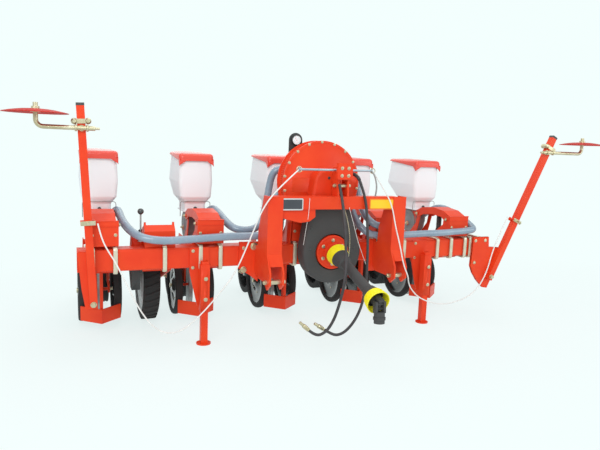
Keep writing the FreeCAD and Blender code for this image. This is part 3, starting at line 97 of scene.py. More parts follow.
def wired(tree: bpy.types.NodeTree, kind: str, inputs: dict[int | str, object], result: int | str = 0,
          **values: object) -> Socket | None:
    """Add a node and set or join its inputs.

    Args:
        tree: the node tree.
        kind: the node's class name.
        inputs: a value or another node's output for each input, by number or name.
        result: the number or name of the output to give.
        values: the node's properties, by name.

    Returns:
        The output, or None where the node has none.
    """
    node = tree.nodes.new(kind)
    for name, value in values.items():
        setattr(node, name, value)
    for name, value in inputs.items():
        if isinstance(value, Socket):
            tree.links.new(value, node.inputs[name])
        else:
            node.inputs[name].default_value = value
    return node.outputs[result] if node.outputs else None


def group(name: str, inputs: dict[str, str]) -> tuple[bpy.types.NodeTree, bpy.types.NodeOutputs]:
    """Start a geometry node group with one mesh output.

    Args:
        name: the group's name.
        inputs: each input's name and kind.

    Returns:
        The group and the sockets that bring its inputs.
    """
    tree = bpy.data.node_groups.new(name, "GeometryNodeTree")
    for label, kind in inputs.items():
        tree.interface.new_socket(label, in_out="INPUT", socket_type=f"NodeSocket{kind}")
    tree.interface.new_socket("Geometry", in_out="OUTPUT", socket_type="NodeSocketGeometry")
    return tree, tree.nodes.new("NodeGroupInput").outputs


# ---------------------------------------------------------------- finishes

class Graph:
    """A material's node tree with short ways to add and join nodes."""

    def __init__(self, name: str) -> None:
        """Start an empty tree with an output and a Principled shader."""
        self.material = bpy.data.materials.new(name)
        self.material.use_nodes = True
        self.tree = self.material.node_tree
        self.tree.nodes.clear()
        output = self.tree.nodes.new("ShaderNodeOutputMaterial")
        self.shader = self.tree.nodes.new("ShaderNodeBsdfPrincipled")
        self.join(self.shader.outputs[0], output.inputs[0])
        self.place = self.tree.nodes.new("ShaderNodeTexCoord").outputs["Object"]

    def join(self, source: Socket, target: Socket) -> None:
        """Link an output to an input."""
        self.tree.links.new(source, target)

    def noise(self, scale: float, detail: float) -> Socket:
        """Fractal noise at a scale."""
        return wired(self.tree, "ShaderNodeTexNoise", {"Scale": scale, "Detail": detail, "Vector": self.place}, "Fac")

    def between(self, factor: Socket, low: float, high: float, start: float = 0.3, end: float = 0.7) -> Socket:
        """Map a factor's range to another range."""
        return wired(self.tree, "ShaderNodeMapRange", {"From Min": start, "From Max": end, "To Min": low,
                                                       "To Max": high, "Value": factor})

    def mixed(self, factor: Socket, first: Colour | Socket, second: Colour | Socket) -> Socket:
        """Mix two colours by a factor."""
        first, second = ((*value, 1.0) if isinstance(value, tuple) else value for value in (first, second))
        return wired(self.tree, "ShaderNodeMix", {"Factor": factor, 6: first, 7: second}, 2, data_type="RGBA")

    def bump(self, height: Socket, distance: float, strength: float = 1.0, under: Socket | None = None) -> Socket:
        """A bump from a height, over another normal if there is one."""
        inputs = {"Strength": strength, "Distance": distance, "Height": height}
        return wired(self.tree, "ShaderNodeBump", inputs | ({"Normal": under} if under else {}))


@dataclass(frozen=True)
class Finish:
    """A surface finish: two mottled colours, a roughness range and a fine relief."""

    name: str
    colour: Colour
    shade: Colour
    patch: float = 6.0
    rough: Pair = (0.3, 0.45)
    grain: float = 900.0
    relief: float = 0.00003
    metallic: float = 0.0
    coat: float = 0.0
    shine: float = 0.5

    def make(self) -> bpy.types.Material:
        """Build the material, or give the one that was built before."""
        if self.name in bpy.data.materials:
            return bpy.data.materials[self.name]
        graph = Graph(self.name)
        self.dress(graph)
        return graph.material

    def dress(self, graph: Graph) -> None:
        """Join the finish's nodes to the shader."""
        patches = graph.noise(self.patch, 5.0)
        colour = graph.mixed(graph.between(patches, 0.0, 1.0), self.colour, self.shade)
        graph.join(colour, graph.shader.inputs["Base Color"])
        graph.join(graph.between(graph.noise(self.patch * 5, 6.0), *self.rough), graph.shader.inputs["Roughness"])
        graph.join(graph.bump(graph.noise(self.grain, 2.0), self.relief), graph.shader.inputs["Normal"])
        for name, value in (("Metallic", self.metallic), ("Coat Weight", self.coat), ("Coat Roughness", 0.12),
                            ("Specular IOR Level", self.shine)):
            graph.shader.inputs[name].default_value = value


@dataclass(frozen=True)
class Paint(Finish):
    """Gloss enamel over steel, with orange peel and a few specks of road dust."""

    dust: Colour = (0.42, 0.12, 0.07)

    def dress(self, graph: Graph) -> None:
        """Join the enamel's nodes to the shader."""
        super().dress(graph)
        colour = graph.mixed(graph.between(graph.noise(self.patch, 5.0), 0.0, 1.0), self.colour, self.shade)
        specks = graph.between(graph.noise(140.0, 8.0), 0.0, 0.16, 0.62, 0.78)
        graph.join(graph.mixed(specks, colour, self.dust), graph.shader.inputs["Base Color"])
        peel = graph.bump(graph.noise(self.grain, 2.0), self.relief)
        graph.join(graph.bump(graph.noise(14.0, 1.0), 0.0006, 0.5, peel), graph.shader.inputs["Normal"])


@dataclass(frozen=True)
class MouldedTank(Finish):
    """Milky polyethylene that lets some light through."""

    def dress(self, graph: Graph) -> None:
        """Join the plastic's nodes to the shader."""
        super().dress(graph)
        graph.shader.inputs["Subsurface Weight"].default_value = 0.1
        graph.shader.inputs["Subsurface Radius"].default_value = (0.03, 0.03, 0.03)
        graph.shader.inputs["Subsurface Scale"].default_value = 0.2


RED = Paint("enamel_red", (0.82, 0.068, 0.016), (0.75, 0.044, 0.012), rough=(0.34, 0.44), shine=0.22)
LID_RED = Finish("lid_plastic", (0.78, 0.03, 0.012), (0.7, 0.022, 0.01), rough=(0.42, 0.52), shine=0.1)
# The marker discs get a darker red than the frame's enamel: painted shade of the discs' undersides, with low shine.
SHADED_DISC_RED = Finish("disc_red", (0.56, 0.026, 0.016), (0.44, 0.02, 0.012), rough=(0.45, 0.6), shine=0.12)
BLACK = Finish("enamel_black", (0.035, 0.038, 0.038), (0.05, 0.055, 0.054), rough=(0.4, 0.55))
GUARD = Finish("guard_plastic", (0.022, 0.024, 0.026), (0.036, 0.038, 0.04), rough=(0.45, 0.6),
               relief=0.00008, grain=500.0)
YELLOW = Finish("cone_plastic", (0.93, 0.84, 0.015), (0.86, 0.74, 0.012), rough=(0.34, 0.48))
RUBBER = Finish("tyre_rubber", (0.022, 0.024, 0.024), (0.04, 0.042, 0.042), patch=20.0,
                rough=(0.62, 0.85), grain=420.0, relief=0.0002)
HOSE = Finish("suction_hose", (0.27, 0.36, 0.44), (0.2, 0.28, 0.36), rough=(0.2, 0.3), coat=0.5)
HYDRAULIC = Finish("hydraulic_hose", (0.03, 0.028, 0.03), (0.052, 0.045, 0.048), rough=(0.5, 0.7),
                   grain=1600.0, relief=0.0002)
ZINC = Finish("zinc_plate", (0.62, 0.58, 0.42), (0.5, 0.44, 0.27), patch=14.0, rough=(0.26, 0.42),
              metallic=0.85)
STEEL = Finish("bare_steel", (0.42, 0.42, 0.41), (0.3, 0.3, 0.3), patch=30.0, rough=(0.3, 0.5),
               metallic=0.9)
BLUE_ZINC = Finish("blue_zinc", (0.46, 0.53, 0.58), (0.34, 0.4, 0.45), patch=12.0, rough=(0.3, 0.42),
                   metallic=0.8)
ROPE = Finish("white_rope", (0.86, 0.86, 0.83), (0.76, 0.76, 0.73), patch=60.0, rough=(0.75, 0.9),
              grain=1500.0, relief=0.0006)
TANK = MouldedTank("hopper_plastic", (0.74, 0.99, 1.0), (0.7, 0.97, 0.99), rough=(0.36, 0.5))
METER = Finish("meter_casting", (0.2, 0.215, 0.215), (0.27, 0.285, 0.285), rough=(0.45, 0.6),
               relief=0.0002, grain=260.0)
LABEL = Finish("label_yellow", (0.95, 0.6, 0.01), (0.93, 0.55, 0.01), rough=(0.3, 0.4))
LABEL_EDGE = Finish("label_orange", (0.85, 0.22, 0.01), (0.83, 0.2, 0.01), rough=(0.3, 0.4))
BADGE = Finish("badge_grey", (0.045, 0.05, 0.06), (0.06, 0.066, 0.078), rough=(0.3, 0.4), metallic=0.2)
DIAL = Finish("dial_white", (0.82, 0.96, 0.97), (0.78, 0.92, 0.93), rough=(0.2, 0.3), coat=0.6)
GLOSS = Finish("wheel_cover", (0.018, 0.02, 0.02), (0.026, 0.028, 0.028), rough=(0.12, 0.2), coat=0.6)
RIM = Finish("rim_silver", (0.62, 0.64, 0.64), (0.5, 0.52, 0.52), patch=12.0, rough=(0.3, 0.42), metallic=0.35)
STRAP = Finish("strap_zinc", (0.74, 0.73, 0.6), (0.56, 0.54, 0.38), patch=9.0, rough=(0.28, 0.46), metallic=0.55)


# ---------------------------------------------------------------- mesh helpers

def placed(name: str, data: bpy.types.ID) -> Piece:
    """Put a mesh, curve, lamp or camera into the scene."""
    piece = bpy.data.objects.new(name, data)
    bpy.context.scene.collection.objects.link(piece)
    return piece


def link(name: str, mesh: Mesh, *finishes: Finish) -> Piece:
    """Give a mesh its finishes and put it into the scene.

    Args:
        name: the piece's name.
        mesh: the finished mesh.
        finishes: its finishes, in the order of its material numbers.

    Returns:
        The new object.
    """
    for finish in finishes:
        mesh.materials.append(finish.make())
    return placed(name, mesh)


def baked(piece: Piece) -> Piece:
    """Apply a piece's modifiers and leave a plain mesh.

    Args:
        piece: an object with modifiers.

    Returns:
        The object that holds the result.
    """
    bpy.context.view_layer.update()
    evaluated = piece.evaluated_get(bpy.context.evaluated_depsgraph_get())
    mesh = bpy.data.meshes.new_from_object(evaluated)
    name = piece.name
    bpy.data.objects.remove(piece)
    return placed(name, mesh)


def grown(host: Piece, tree: bpy.types.NodeTree, **values: object) -> Piece:
    """Run a node group on a piece and leave a plain mesh.

    Args:
        host: the piece.
        tree: the node group.
        values: values for the group's inputs, by name.

    Returns:
        The object that holds the result.
    """
    modifier = host.modifiers.new("nodes", "NODES")
    modifier.node_group = tree
    for item in tree.interface.items_tree:
        if item.in_out == "INPUT" and item.name in values:
            modifier[item.identifier] = values[item.name]
    return baked(host)


def smooth(mesh: Mesh, angle: float = 35.0) -> None:
    """Shade a mesh smooth, with sharp edges above an angle in degrees."""
    mesh.polygons.foreach_set("use_smooth", [True] * len(mesh.polygons))
    mesh.set_sharp_from_angle(angle=math.radians(angle))


def plain(shape: Shape, name: str, angle: float | None = None) -> Mesh:
    """Turn a bmesh into a mesh with outward normals and free it.

    Args:
        shape: the bmesh.
        name: the mesh's name.
        angle: the angle in degrees above which edges stay sharp, or None for flat shading.

    Returns:
        The mesh.
    """
    mesh = bpy.data.meshes.new(name)
    bmesh.ops.recalc_face_normals(shape, faces=shape.faces)
    shape.to_mesh(mesh)
    shape.free()
    if angle is not None:
        smooth(mesh, angle)
    return mesh


def from_bmesh(name: str, shape: Shape, *finishes: Finish, angle: float = 35.0) -> Piece:
    """Turn a bmesh into a shaded piece."""
    return link(name, plain(shape, name, angle), *finishes)


def put(piece: Piece, body: str, node: str | None = None) -> Piece:
    """Let a piece ride on a body.

    Args:
        piece: the finished piece.
        body: the body that it rides on.
        node: the CAD node that it stands for, if it does.

    Returns:
        The same piece.
    """
    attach(piece, body)
    if node:
        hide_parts(node)
    return piece


def circle(count: int, radius: float = 1.0, start: float = 0.0) -> list[Pair]:
    """Points round a circle, anticlockwise from a start angle in degrees."""
    angles = [math.radians(start) + 2 * math.pi * k / count for k in range(count)]
    return [(radius * math.cos(a), radius * math.sin(a)) for a in angles]


def ring_faces(shape: Shape, rings: Sequence[Sequence[Vert]], number: int = 0) -> None:
    """Join closed rings of the same count with four-sided faces."""
    for one, two in zip(rings, rings[1:]):
        for k, vert in enumerate(one):
            after = (k + 1) % len(one)
            shape.faces.new((vert, one[after], two[after], two[k])).material_index = number


def capped(shape: Shape, rings: Sequence[Sequence[Vert]], number: int = 0) -> None:
    """Join closed rings with faces and close both ends."""
    ring_faces(shape, rings, number)
    for ends in (rings[0][::-1], rings[-1]):
        shape.faces.new(ends).material_index = number


def turned(shape: Shape, start: Vector, way: Vector, profile: Sequence[Pair], sides: int) -> list[list[Vert]]:
    """Rings of vertices round an axis, one for each (distance, radius) pair."""
    turn = way.to_track_quat("Z", "Y")
    return [[shape.verts.new(start + turn @ Vector((x, y, distance))) for x, y in circle(sides, radius)]
            for distance, radius in profile]


def lathe(shape: Shape, start: Vector, way: Vector, profile: Sequence[Pair], sides: int = 20,
          number: int = 0) -> None:
    """Add a turned solid to a bmesh.

    Args:
        shape: the bmesh.
        start: where the profile's distances start.
        way: the direction of its axis.
        profile: (distance, radius) pairs; the ends are closed.
        sides: corners in each ring.
        number: the material number of its faces.
    """
    capped(shape, turned(shape, start, way, profile, sides), number)


def closed_lathe(shape: Shape, start: Vector, way: Vector, section: Sequence[Pair], sides: int,
                 number: int = 0) -> None:
    """Turn a closed section about an axis, such as a tyre or a rim.

    Args:
        shape: the bmesh.
        start: where the section's distances start.
        way: the direction of the axis.
        section: (distance, radius) corners, in order round the section.
        sides: corners in each ring.
        number: the material number of its faces.
    """
    rings = turned(shape, start, way, section, sides)
    ring_faces(shape, rings + rings[:1], number)


def centreline(route: Sequence[Vector]) -> list[Vector]:
    """Points along the smooth line of a route.

    Args:
        route: the line's control points.

    Returns:
        The points that the NURBS line gives, in order.
    """
    piece = placed("line", nurbs("line", route))
    bpy.context.view_layer.update()
    mesh = bpy.data.meshes.new_from_object(piece.evaluated_get(bpy.context.evaluated_depsgraph_get()))
    points = [vertex.co.copy() for vertex in mesh.vertices]
    bpy.data.objects.remove(piece)
    bpy.data.meshes.remove(mesh)
    return points


def nurbs(name: str, route: Sequence[Vector]) -> bpy.types.Curve:
    """A smooth open NURBS curve with the route's points as its control points."""
    curve = bpy.data.curves.new(name, "CURVE")
    curve.dimensions = "3D"
    curve.resolution_u = 16
    spline = curve.splines.new("NURBS")
    spline.points.add(len(route) - 1)
    for point, co in zip(spline.points, route):
        point.co = (*co, 1.0)
    spline.order_u = 3
    spline.use_endpoint_u = True
    return curve


# ---------------------------------------------------------------- repeated parts

@dataclass(frozen=True)
class Spot:
    """Where one copy of a part stands: its foot, the way it points, its size and its own turn."""

    foot: Vector
    way: Vector
    size: float = 1.0
    spin: float = 0.0

    def turn(self) -> Point:
        """The copy's rotation as Euler angles."""
        turn = self.way.to_track_quat("Z", "Y").to_matrix() @ Matrix.Rotation(self.spin, 3, "Z")
        return tuple(turn.to_euler())


def front(x: float, y: float, z: float, size: float = 1.0) -> Spot:
    """A spot on a face that looks forward."""
    return Spot(at(x, y, z), FORWARD, size)


class Scatter:
    """Sets copies of one part on points, as a single plain mesh."""

    def tree(self) -> bpy.types.NodeTree:
        """The node group that sets the part on each point and turns and sizes it."""
        if "set_on_points" in bpy.data.node_groups:
            return bpy.data.node_groups["set_on_points"]
        tree, given = group("set_on_points", {"Points": "Geometry", "Part": "Object", "Finish": "Material"})
        turn, size = (wired(tree, "GeometryNodeInputNamedAttribute", {"Name": name}, "Attribute", data_type=kind)
                      for name, kind in (("turn", "FLOAT_VECTOR"), ("size", "FLOAT")))
        copies = wired(tree, "GeometryNodeInstanceOnPoints", {
            "Points": given["Points"], "Scale": size,
            "Instance": wired(tree, "GeometryNodeObjectInfo", {"Object": given["Part"]}, "Geometry"),
            "Rotation": wired(tree, "FunctionNodeEulerToRotation", {0: turn})})
        solid = wired(tree, "GeometryNodeRealizeInstances", {"Geometry": copies})
        wired(tree, "NodeGroupOutput", {"Geometry": wired(tree, "GeometryNodeSetMaterial", {
            "Geometry": solid, "Material": given["Finish"]})})
        return tree

    def build(self, name: str, part: Mesh, spots: Sequence[Spot], finish: Finish,
              body: str, slot: str) -> Piece:
        """Set the copies and make them one mesh.

        Args:
            name: the piece's name.
            part: the part's mesh, standing on the origin and pointing up.
            spots: where the copies stand.
            finish: the finish of all of them.
            body: the body they ride on.
            slot: not used.

        Returns:
            The finished piece.
        """
        points = bpy.data.meshes.new(name)
        points.from_pydata([tuple(spot.foot) for spot in spots], [], [])
        turns = points.attributes.new("turn", "FLOAT_VECTOR", "POINT")
        turns.data.foreach_set("vector", [value for spot in spots for value in spot.turn()])
        sizes = points.attributes.new("size", "FLOAT", "POINT")
        sizes.data.foreach_set("value", [spot.size for spot in spots])
        host, pattern = placed(name, points), placed(f"{name}_part", part)
        piece = grown(host, self.tree(), Part=pattern, Finish=finish.make())
        bpy.data.objects.remove(pattern)
        return put(piece, body)


class Head(Enum):
    """The heads that hold the machine together."""

    HEX = "hexagon head on a washer"
    NUT = "nut on a threaded end"
    DOME = "low round head"

    def mesh(self) -> Mesh:
        """The head's mesh for a 10 mm wide bolt, pointing up."""
        shape = bmesh.new()
        up, foot = UP, Vector((0, 0, -0.0006))
        if self is Head.DOME:
            lathe(shape, foot, up, [(0, 0.01), (0.0022, 0.0098), (0.0042, 0.008), (0.0054, 0.0046)], 14)
        else:
            lathe(shape, foot, up, [(0, 0.0118), (0.002, 0.0118), (0.0024, 0.011)], 16)
            lathe(shape, foot + up * 0.002, up, [(0, 0.009), (0.0052, 0.009), (0.0066, 0.0078)], 6)
        if self is Head.NUT:
            lathe(shape, foot + up * 0.008, up, [(0, 0.005), (0.0062, 0.005), (0.0072, 0.0042)], 12)
        return plain(shape, self.name.lower(), 30.0)


def bolted(name: str, spots: Sequence[Spot], body: str = "frame", head: Head = Head.HEX) -> Piece:
    """Set zinc heads on spots, as one piece."""
    return Scatter().build(name, head.mesh(), spots, ZINC, body, "zinc")


# ---------------------------------------------------------------- shaping helpers

def joined(name: str, meshes: Sequence[Mesh], *finishes: Finish) -> Piece:
    """Join meshes into one piece, whose material numbers are kept."""
    shape = bmesh.new()
    for mesh in meshes:
        shape.from_mesh(mesh)
    mesh = bpy.data.meshes.new(name)
    shape.to_mesh(mesh)
    shape.free()
    smooth(mesh)
    return link(name, mesh, *finishes)


def rounded_box(half: float, near: float, far: float, radius: float, steps: int = 5) -> list[Pair]:
    """Corners of a rectangle with round corners, anticlockwise.

    Args:
        half: half its width along x.
        near: its lowest y.
        far: its highest y.
        radius: the corners' radius.
        steps: points on each corner, less one.

    Returns:
        (x, y) pairs.
    """
    points = []
    for cx, cy, start in ((half - radius, far - radius, 0), (radius - half, far - radius, 90),
                          (radius - half, near + radius, 180), (half - radius, near + radius, 270)):
        for k in range(steps + 1):
            angle = math.radians(start + 90 * k / steps)
            points.append((cx + radius * math.cos(angle), cy + radius * math.sin(angle)))
    return points


def prism(shape: Shape, outline: Sequence[Vector], depth: Vector, number: int = 0) -> None:
    """Add a straight solid between a closed outline and its copy.

    Args:
        shape: the bmesh.
        outline: the outline's corners, in order.
        depth: from the outline to its copy.
        number: the material number of its faces.
    """
    capped(shape, [[shape.verts.new(point + step) for point in outline] for step in (Vector(), depth)], number)


def block(shape: Shape, low: Vector, high: Vector) -> list[Vert]:
    """Add a box between two corners."""
    verts = bmesh.ops.create_cube(shape, size=1.0)["verts"]
    for vert in verts:
        vert.co = (low + high) / 2 + vert.co * (high - low)
    return verts


def bevelled(shape: Shape, width: float, edges: Sequence[bmesh.types.BMEdge] | None = None) -> None:
    """Round some edges of a bmesh, or all of them."""
    bmesh.ops.bevel(shape, geom=list(shape.edges) if edges is None else edges, offset=width, segments=2,
                    affect="EDGES")


def reshaped(name: str, node: Piece, change: Callable[[Vector], Vector | None]) -> Piece:
    """A piece made from a merged copy of a CAD node, which it replaces.

    Args:
        name: the piece's name.
        node: the CAD node, already in its finishes.
        change: gives each machine point's new place, or None to take the point out.

    Returns:
        The piece, on no body yet.
    """
    shape = bmesh.new()
    shape.from_mesh(node.data)
    bmesh.ops.remove_doubles(shape, verts=shape.verts, dist=0.00001)
    gone = []
    for vert in shape.verts:
        place = change(vert.co + ORIGIN)
        if place is None:
            gone.append(vert)
        else:
            vert.co = place - ORIGIN
    bmesh.ops.delete(shape, geom=gone, context="VERTS")
    mesh = node.data.copy()
    mesh.name = name
    shape.to_mesh(mesh)
    shape.free()
    smooth(mesh, 30.0)
    return placed(name, mesh)


def swept(shape: Shape, path: Sequence[Vector], radius: Callable[[int], Point],
          side: Vector, count: int = 16, number: int = 0) -> None:
    """Sweep a rounded section along a path that lies across a fixed side direction.

    Args:
        shape: the bmesh.
        path: the path's points.
        radius: half width along the side, half thickness and squareness at a point's number.
        side: the direction of the section's width.
        count: corners in each ring.
        number: the material number of its faces.
    """
    rings = []
    for k, point in enumerate(path):
        ahead = (path[min(k + 1, len(path) - 1)] - path[max(k - 1, 0)]).normalized()
        up = side.cross(ahead).normalized()
        wide, thick, power = radius(k)
        ring = []
        for m in range(count):
            angle = 2 * math.pi * (m + 0.5) / count
            c, s = math.cos(angle), math.sin(angle)
            ring.append(shape.verts.new(point + side * (wide * math.copysign(abs(c) ** (2 / power), c))
                                        + up * (thick * math.copysign(abs(s) ** (2 / power), s))))
        rings.append(ring)
    capped(shape, rings, number)


def wire(name: str, route: Sequence[Vector], radius: float, finish: Finish, body: str) -> Piece:
    """A round wire along a smooth route, as a plain mesh."""
    curve = nurbs(name, route)
    curve.bevel_depth = radius
    curve.bevel_resolution = 3
    curve.use_fill_caps = True
    curve.materials.append(finish.make())
    return put(baked(placed(name, curve)), body)


# ---------------------------------------------------------------- hoses and ropes

@dataclass
class Cord:
    """A rope or hose that leaves the machine and hangs: a NURBS line with a round bevel."""

    name: str
    diameter: float
    route: list[Point]
    finish: Finish
    slot: str
    node: str
    far_end: str
    stiffness: str

    def coupler(self, end: Vector, way: Vector) -> Piece:
        """The quick coupler on the hose's far end."""
        shape = bmesh.new()
        hex_body = [(0.0, 0.0095), (0.003, 0.0125), (0.017, 0.0125), (0.019, 0.011)]
        lathe(shape, end - way * 0.002, way, hex_body, 6)
        lathe(shape, end + way * 0.017, way, [(0.0, 0.0118), (0.003, 0.0128), (0.008, 0.0118), (0.013, 0.0128),
                                              (0.018, 0.0118), (0.023, 0.0128), (0.026, 0.0105)], 28)
        lathe(shape, end + way * 0.043, way, [(0.0, 0.0088), (0.012, 0.0088), (0.013, 0.0076), (0.017, 0.0076),
                                              (0.018, 0.0088), (0.028, 0.0085), (0.03, 0.006)], 28)
        return put(from_bmesh(f"{self.name}_coupler", shape, ZINC), "frame", "hose_couplings")

    def build(self) -> Piece:
        points = [at(*point) for point in self.route]
        line = centreline(points)
        curve = nurbs(self.name, points)
        curve.bevel_depth = self.diameter / 2
        curve.bevel_resolution = 5
        curve.use_fill_caps = True
        curve.materials.append(self.finish.make())
        piece = placed(self.name, curve)
        put(piece, "frame", self.node)
        if self.far_end == "fitting":
            self.coupler(line[-1], (line[-1] - line[-2]).normalized())
        return piece


ROPE_LEFT = [(-1.236, -0.112, 0.738), (-1.222, -0.118, 0.671), (-1.193, -0.124, 0.6),
             (-1.147, -0.13, 0.525), (-1.096, -0.136, 0.41), (-1.024, -0.141, 0.252),
             (-0.931, -0.144, 0.124), (-0.812, -0.144, 0.1), (-0.69, -0.146, 0.196),
             (-0.56, -0.152, 0.345), (-0.486, -0.162, 0.45), (-0.41, -0.204, 0.67),
             (-0.366, -0.248, 0.826), (-0.29, -0.262, 0.935), (-0.135, -0.212, 1.052)]
ROPE_RIGHT = [(1.535, -0.112, 0.741), (1.474, -0.118, 0.627), (1.416, -0.122, 0.5),
              (1.374, -0.126, 0.34), (1.292, -0.131, 0.218), (1.172, -0.134, 0.157),
              (0.986, -0.138, 0.135), (0.806, -0.143, 0.196), (0.722, -0.152, 0.276),
              (0.65, -0.23, 0.345), (0.592, -0.312, 0.4), (0.545, -0.32, 0.48),
              (0.525, -0.3, 0.6), (0.505, -0.262, 0.72), (0.485, -0.256, 0.82),
              (0.44, -0.258, 0.91), (0.352, -0.212, 1.052)]
HYDRAULIC_LEFT = [(0.118, -0.2334, 0.968), (0.118, -0.284, 0.88), (0.112, -0.332, 0.775),
                  (0.094, -0.396, 0.668), (0.083, -0.436, 0.566), (0.076, -0.452, 0.467),
                  (0.065, -0.452, 0.378), (0.048, -0.442, 0.284), (0.024, -0.432, 0.196),
                  (-0.016, -0.421, 0.128), (-0.074, -0.41, 0.104), (-0.118, -0.402, 0.144)]
HYDRAULIC_RIGHT = [(0.256, -0.226, 0.996), (0.28, -0.24, 0.93), (0.298, -0.25, 0.85),
                   (0.31, -0.256, 0.74), (0.319, -0.261, 0.6), (0.317, -0.27, 0.458),
                   (0.303, -0.29, 0.328), (0.262, -0.32, 0.222), (0.202, -0.348, 0.146),
                   (0.134, -0.37, 0.098), (0.072, -0.382, 0.086), (0.018, -0.389, 0.112),
                   (-0.018, -0.39, 0.136)]

CORDS = (
    Cord("marker_rope_left", 0.008, ROPE_LEFT, ROPE, "rope_fibre", "rope_left", "object", "limp"),
    Cord("marker_rope_right", 0.008, ROPE_RIGHT, ROPE, "rope_fibre", "rope_right", "object", "limp"),
    Cord("hydraulic_line_left", 0.017, HYDRAULIC_LEFT, HYDRAULIC, "hose_rubber",
         "hydraulic_hose_left", "fitting", "medium"),
    Cord("hydraulic_line_right", 0.017, HYDRAULIC_RIGHT, HYDRAULIC, "hose_rubber",
         "hydraulic_hose_right", "fitting", "medium"),
)

SUCTION_ROUTES: dict[int, list[Point]] = {
    1: [(-1.096, 0.366, 0.752), (-1.094, 0.3, 0.742), (-1.088, 0.2, 0.714), (-1.072, 0.11, 0.688),
        (-1.044, 0.038, 0.662), (-1.0, -0.02, 0.641), (-0.94, -0.038, 0.628),
        (-0.86, -0.04, 0.622), (-0.76, -0.036, 0.625), (-0.64, -0.034, 0.631),
        (-0.52, -0.034, 0.637), (-0.4, -0.033, 0.636), (-0.3, -0.034, 0.637),
        (-0.238, -0.024, 0.652), (-0.194, 0.018, 0.694), (-0.18, 0.094, 0.764),
        (-0.15, 0.135, 0.89), (-0.0654, 0.135, 0.89)],
    2: [(-0.496, 0.366, 0.76), (-0.494, 0.3, 0.752), (-0.49, 0.205, 0.734), (-0.48, 0.115, 0.706),
        (-0.456, 0.052, 0.678), (-0.41, 0.03, 0.664), (-0.336, 0.036, 0.662), (-0.262, 0.086, 0.686),
        (-0.222, 0.148, 0.748), (-0.196, 0.172, 0.83), (-0.184, 0.166, 0.925), (-0.172, 0.15, 1.006),
        (-0.136, 0.135, 1.04), (-0.0654, 0.135, 1.04)],
    3: [(0.106, 0.366, 0.756), (0.112, 0.3, 0.758), (0.13, 0.234, 0.769), (0.144, 0.2016, 0.7912),
        (0.144, 0.1734, 0.8166)],
    4: [(0.704, 0.366, 0.752), (0.71, 0.29, 0.742), (0.722, 0.2, 0.722), (0.732, 0.105, 0.7),
        (0.728, 0.02, 0.684), (0.7, -0.04, 0.674), (0.62, -0.038, 0.672), (0.54, -0.036, 0.678),
        (0.48, -0.022, 0.698), (0.45, 0.036, 0.748), (0.447, 0.104, 0.828), (0.44, 0.14, 0.922),
        (0.412, 0.145, 1.004), (0.358, 0.135, 1.04), (0.2554, 0.135, 1.04)],
    5: [(1.304, 0.366, 0.758), (1.308, 0.29, 0.752), (1.32, 0.2, 0.724), (1.334, 0.1, 0.688),
        (1.33, 0.018, 0.656), (1.302, -0.04, 0.642), (1.226, -0.038, 0.635), (1.13, -0.038, 0.631),
        (1.01, -0.039, 0.624), (0.885, -0.038, 0.624), (0.765, -0.037, 0.62), (0.645, -0.037, 0.618),
        (0.53, -0.035, 0.618), (0.446, -0.02, 0.632), (0.396, 0.024, 0.69), (0.382, 0.092, 0.772),
        (0.346, 0.135, 0.89), (0.2554, 0.135, 0.89)],
}


@dataclass
class SuctionHoses:
    """Five corrugated hoses from the fan's drum to the row units."""

    diameter: float = 0.047
    pitch: float = 0.0068
    depth: float = 0.0011
    sides: int = 18

    def parting(self, row: int) -> Vector:
        """The machine point where a hose's part on the frame ends and its last bend begins."""
        return Vector(SUCTION_ROUTES[row][1]).lerp(Vector(SUCTION_ROUTES[row][2]), 0.5)

    def ribbed_tube(self, name: str, route: Sequence[Vector]) -> tuple[Piece, list[Vector]]:
        """Make one corrugated tube along a route.

        Args:
            name: the piece's name.
            route: the route's control points.

        Returns:
            The tube and the points of its centreline.
        """
        line = centreline(route)
        length = sum((b - a).length for a, b in zip(line, line[1:]))
        tube = grown(placed(name, nurbs(name, route)), self.tree(), Rings=round(length / self.pitch * 2),
                     Radius=self.diameter / 2 - self.depth, Depth=self.depth)
        return tube, line

    def tree(self) -> bpy.types.NodeTree:
        """The node group that turns a line into a ribbed tube."""
        if "ribbed_tube" in bpy.data.node_groups:
            return bpy.data.node_groups["ribbed_tube"]
        tree, given = group("ribbed_tube", {"Geometry": "Geometry", "Rings": "Int", "Radius": "Float",
                                            "Depth": "Float"})
        line = wired(tree, "GeometryNodeResampleCurve", {"Curve": given["Geometry"], "Count": given["Rings"]}, "Curve")
        odd = wired(tree, "ShaderNodeMath", {0: wired(tree, "GeometryNodeInputIndex", {}), 1: 2.0}, operation="MODULO")
        radius = wired(tree, "ShaderNodeMath", {0: odd, 1: given["Depth"], 2: given["Radius"]},
                       operation="MULTIPLY_ADD")
        ring = wired(tree, "GeometryNodeCurvePrimitiveCircle", {"Resolution": self.sides, "Radius": 1.0}, "Curve")
        sweep = wired(tree, "GeometryNodeCurveToMesh", {"Curve": line, "Profile Curve": ring, "Scale": radius,
                                                        "Fill Caps": True})
        shade = wired(tree, "GeometryNodeSetShadeSmooth", {"Geometry": sweep})
        solid = wired(tree, "GeometryNodeRealizeInstances", {"Geometry": shade})
        wired(tree, "NodeGroupOutput", {"Geometry": wired(tree, "GeometryNodeSetMaterial", {
            "Geometry": solid, "Material": HOSE.make()})})
        return tree

    def build(self) -> None:
        for row, route in SUCTION_ROUTES.items():
            points = [at(*point) for point in reversed(route[2:])] + [at(*self.parting(row))]
            piece, line = self.ribbed_tube(f"suction_hose_{row}", points)
            put(piece, "frame", "vacuum_hoses")


# ---------------------------------------------------------------- row units

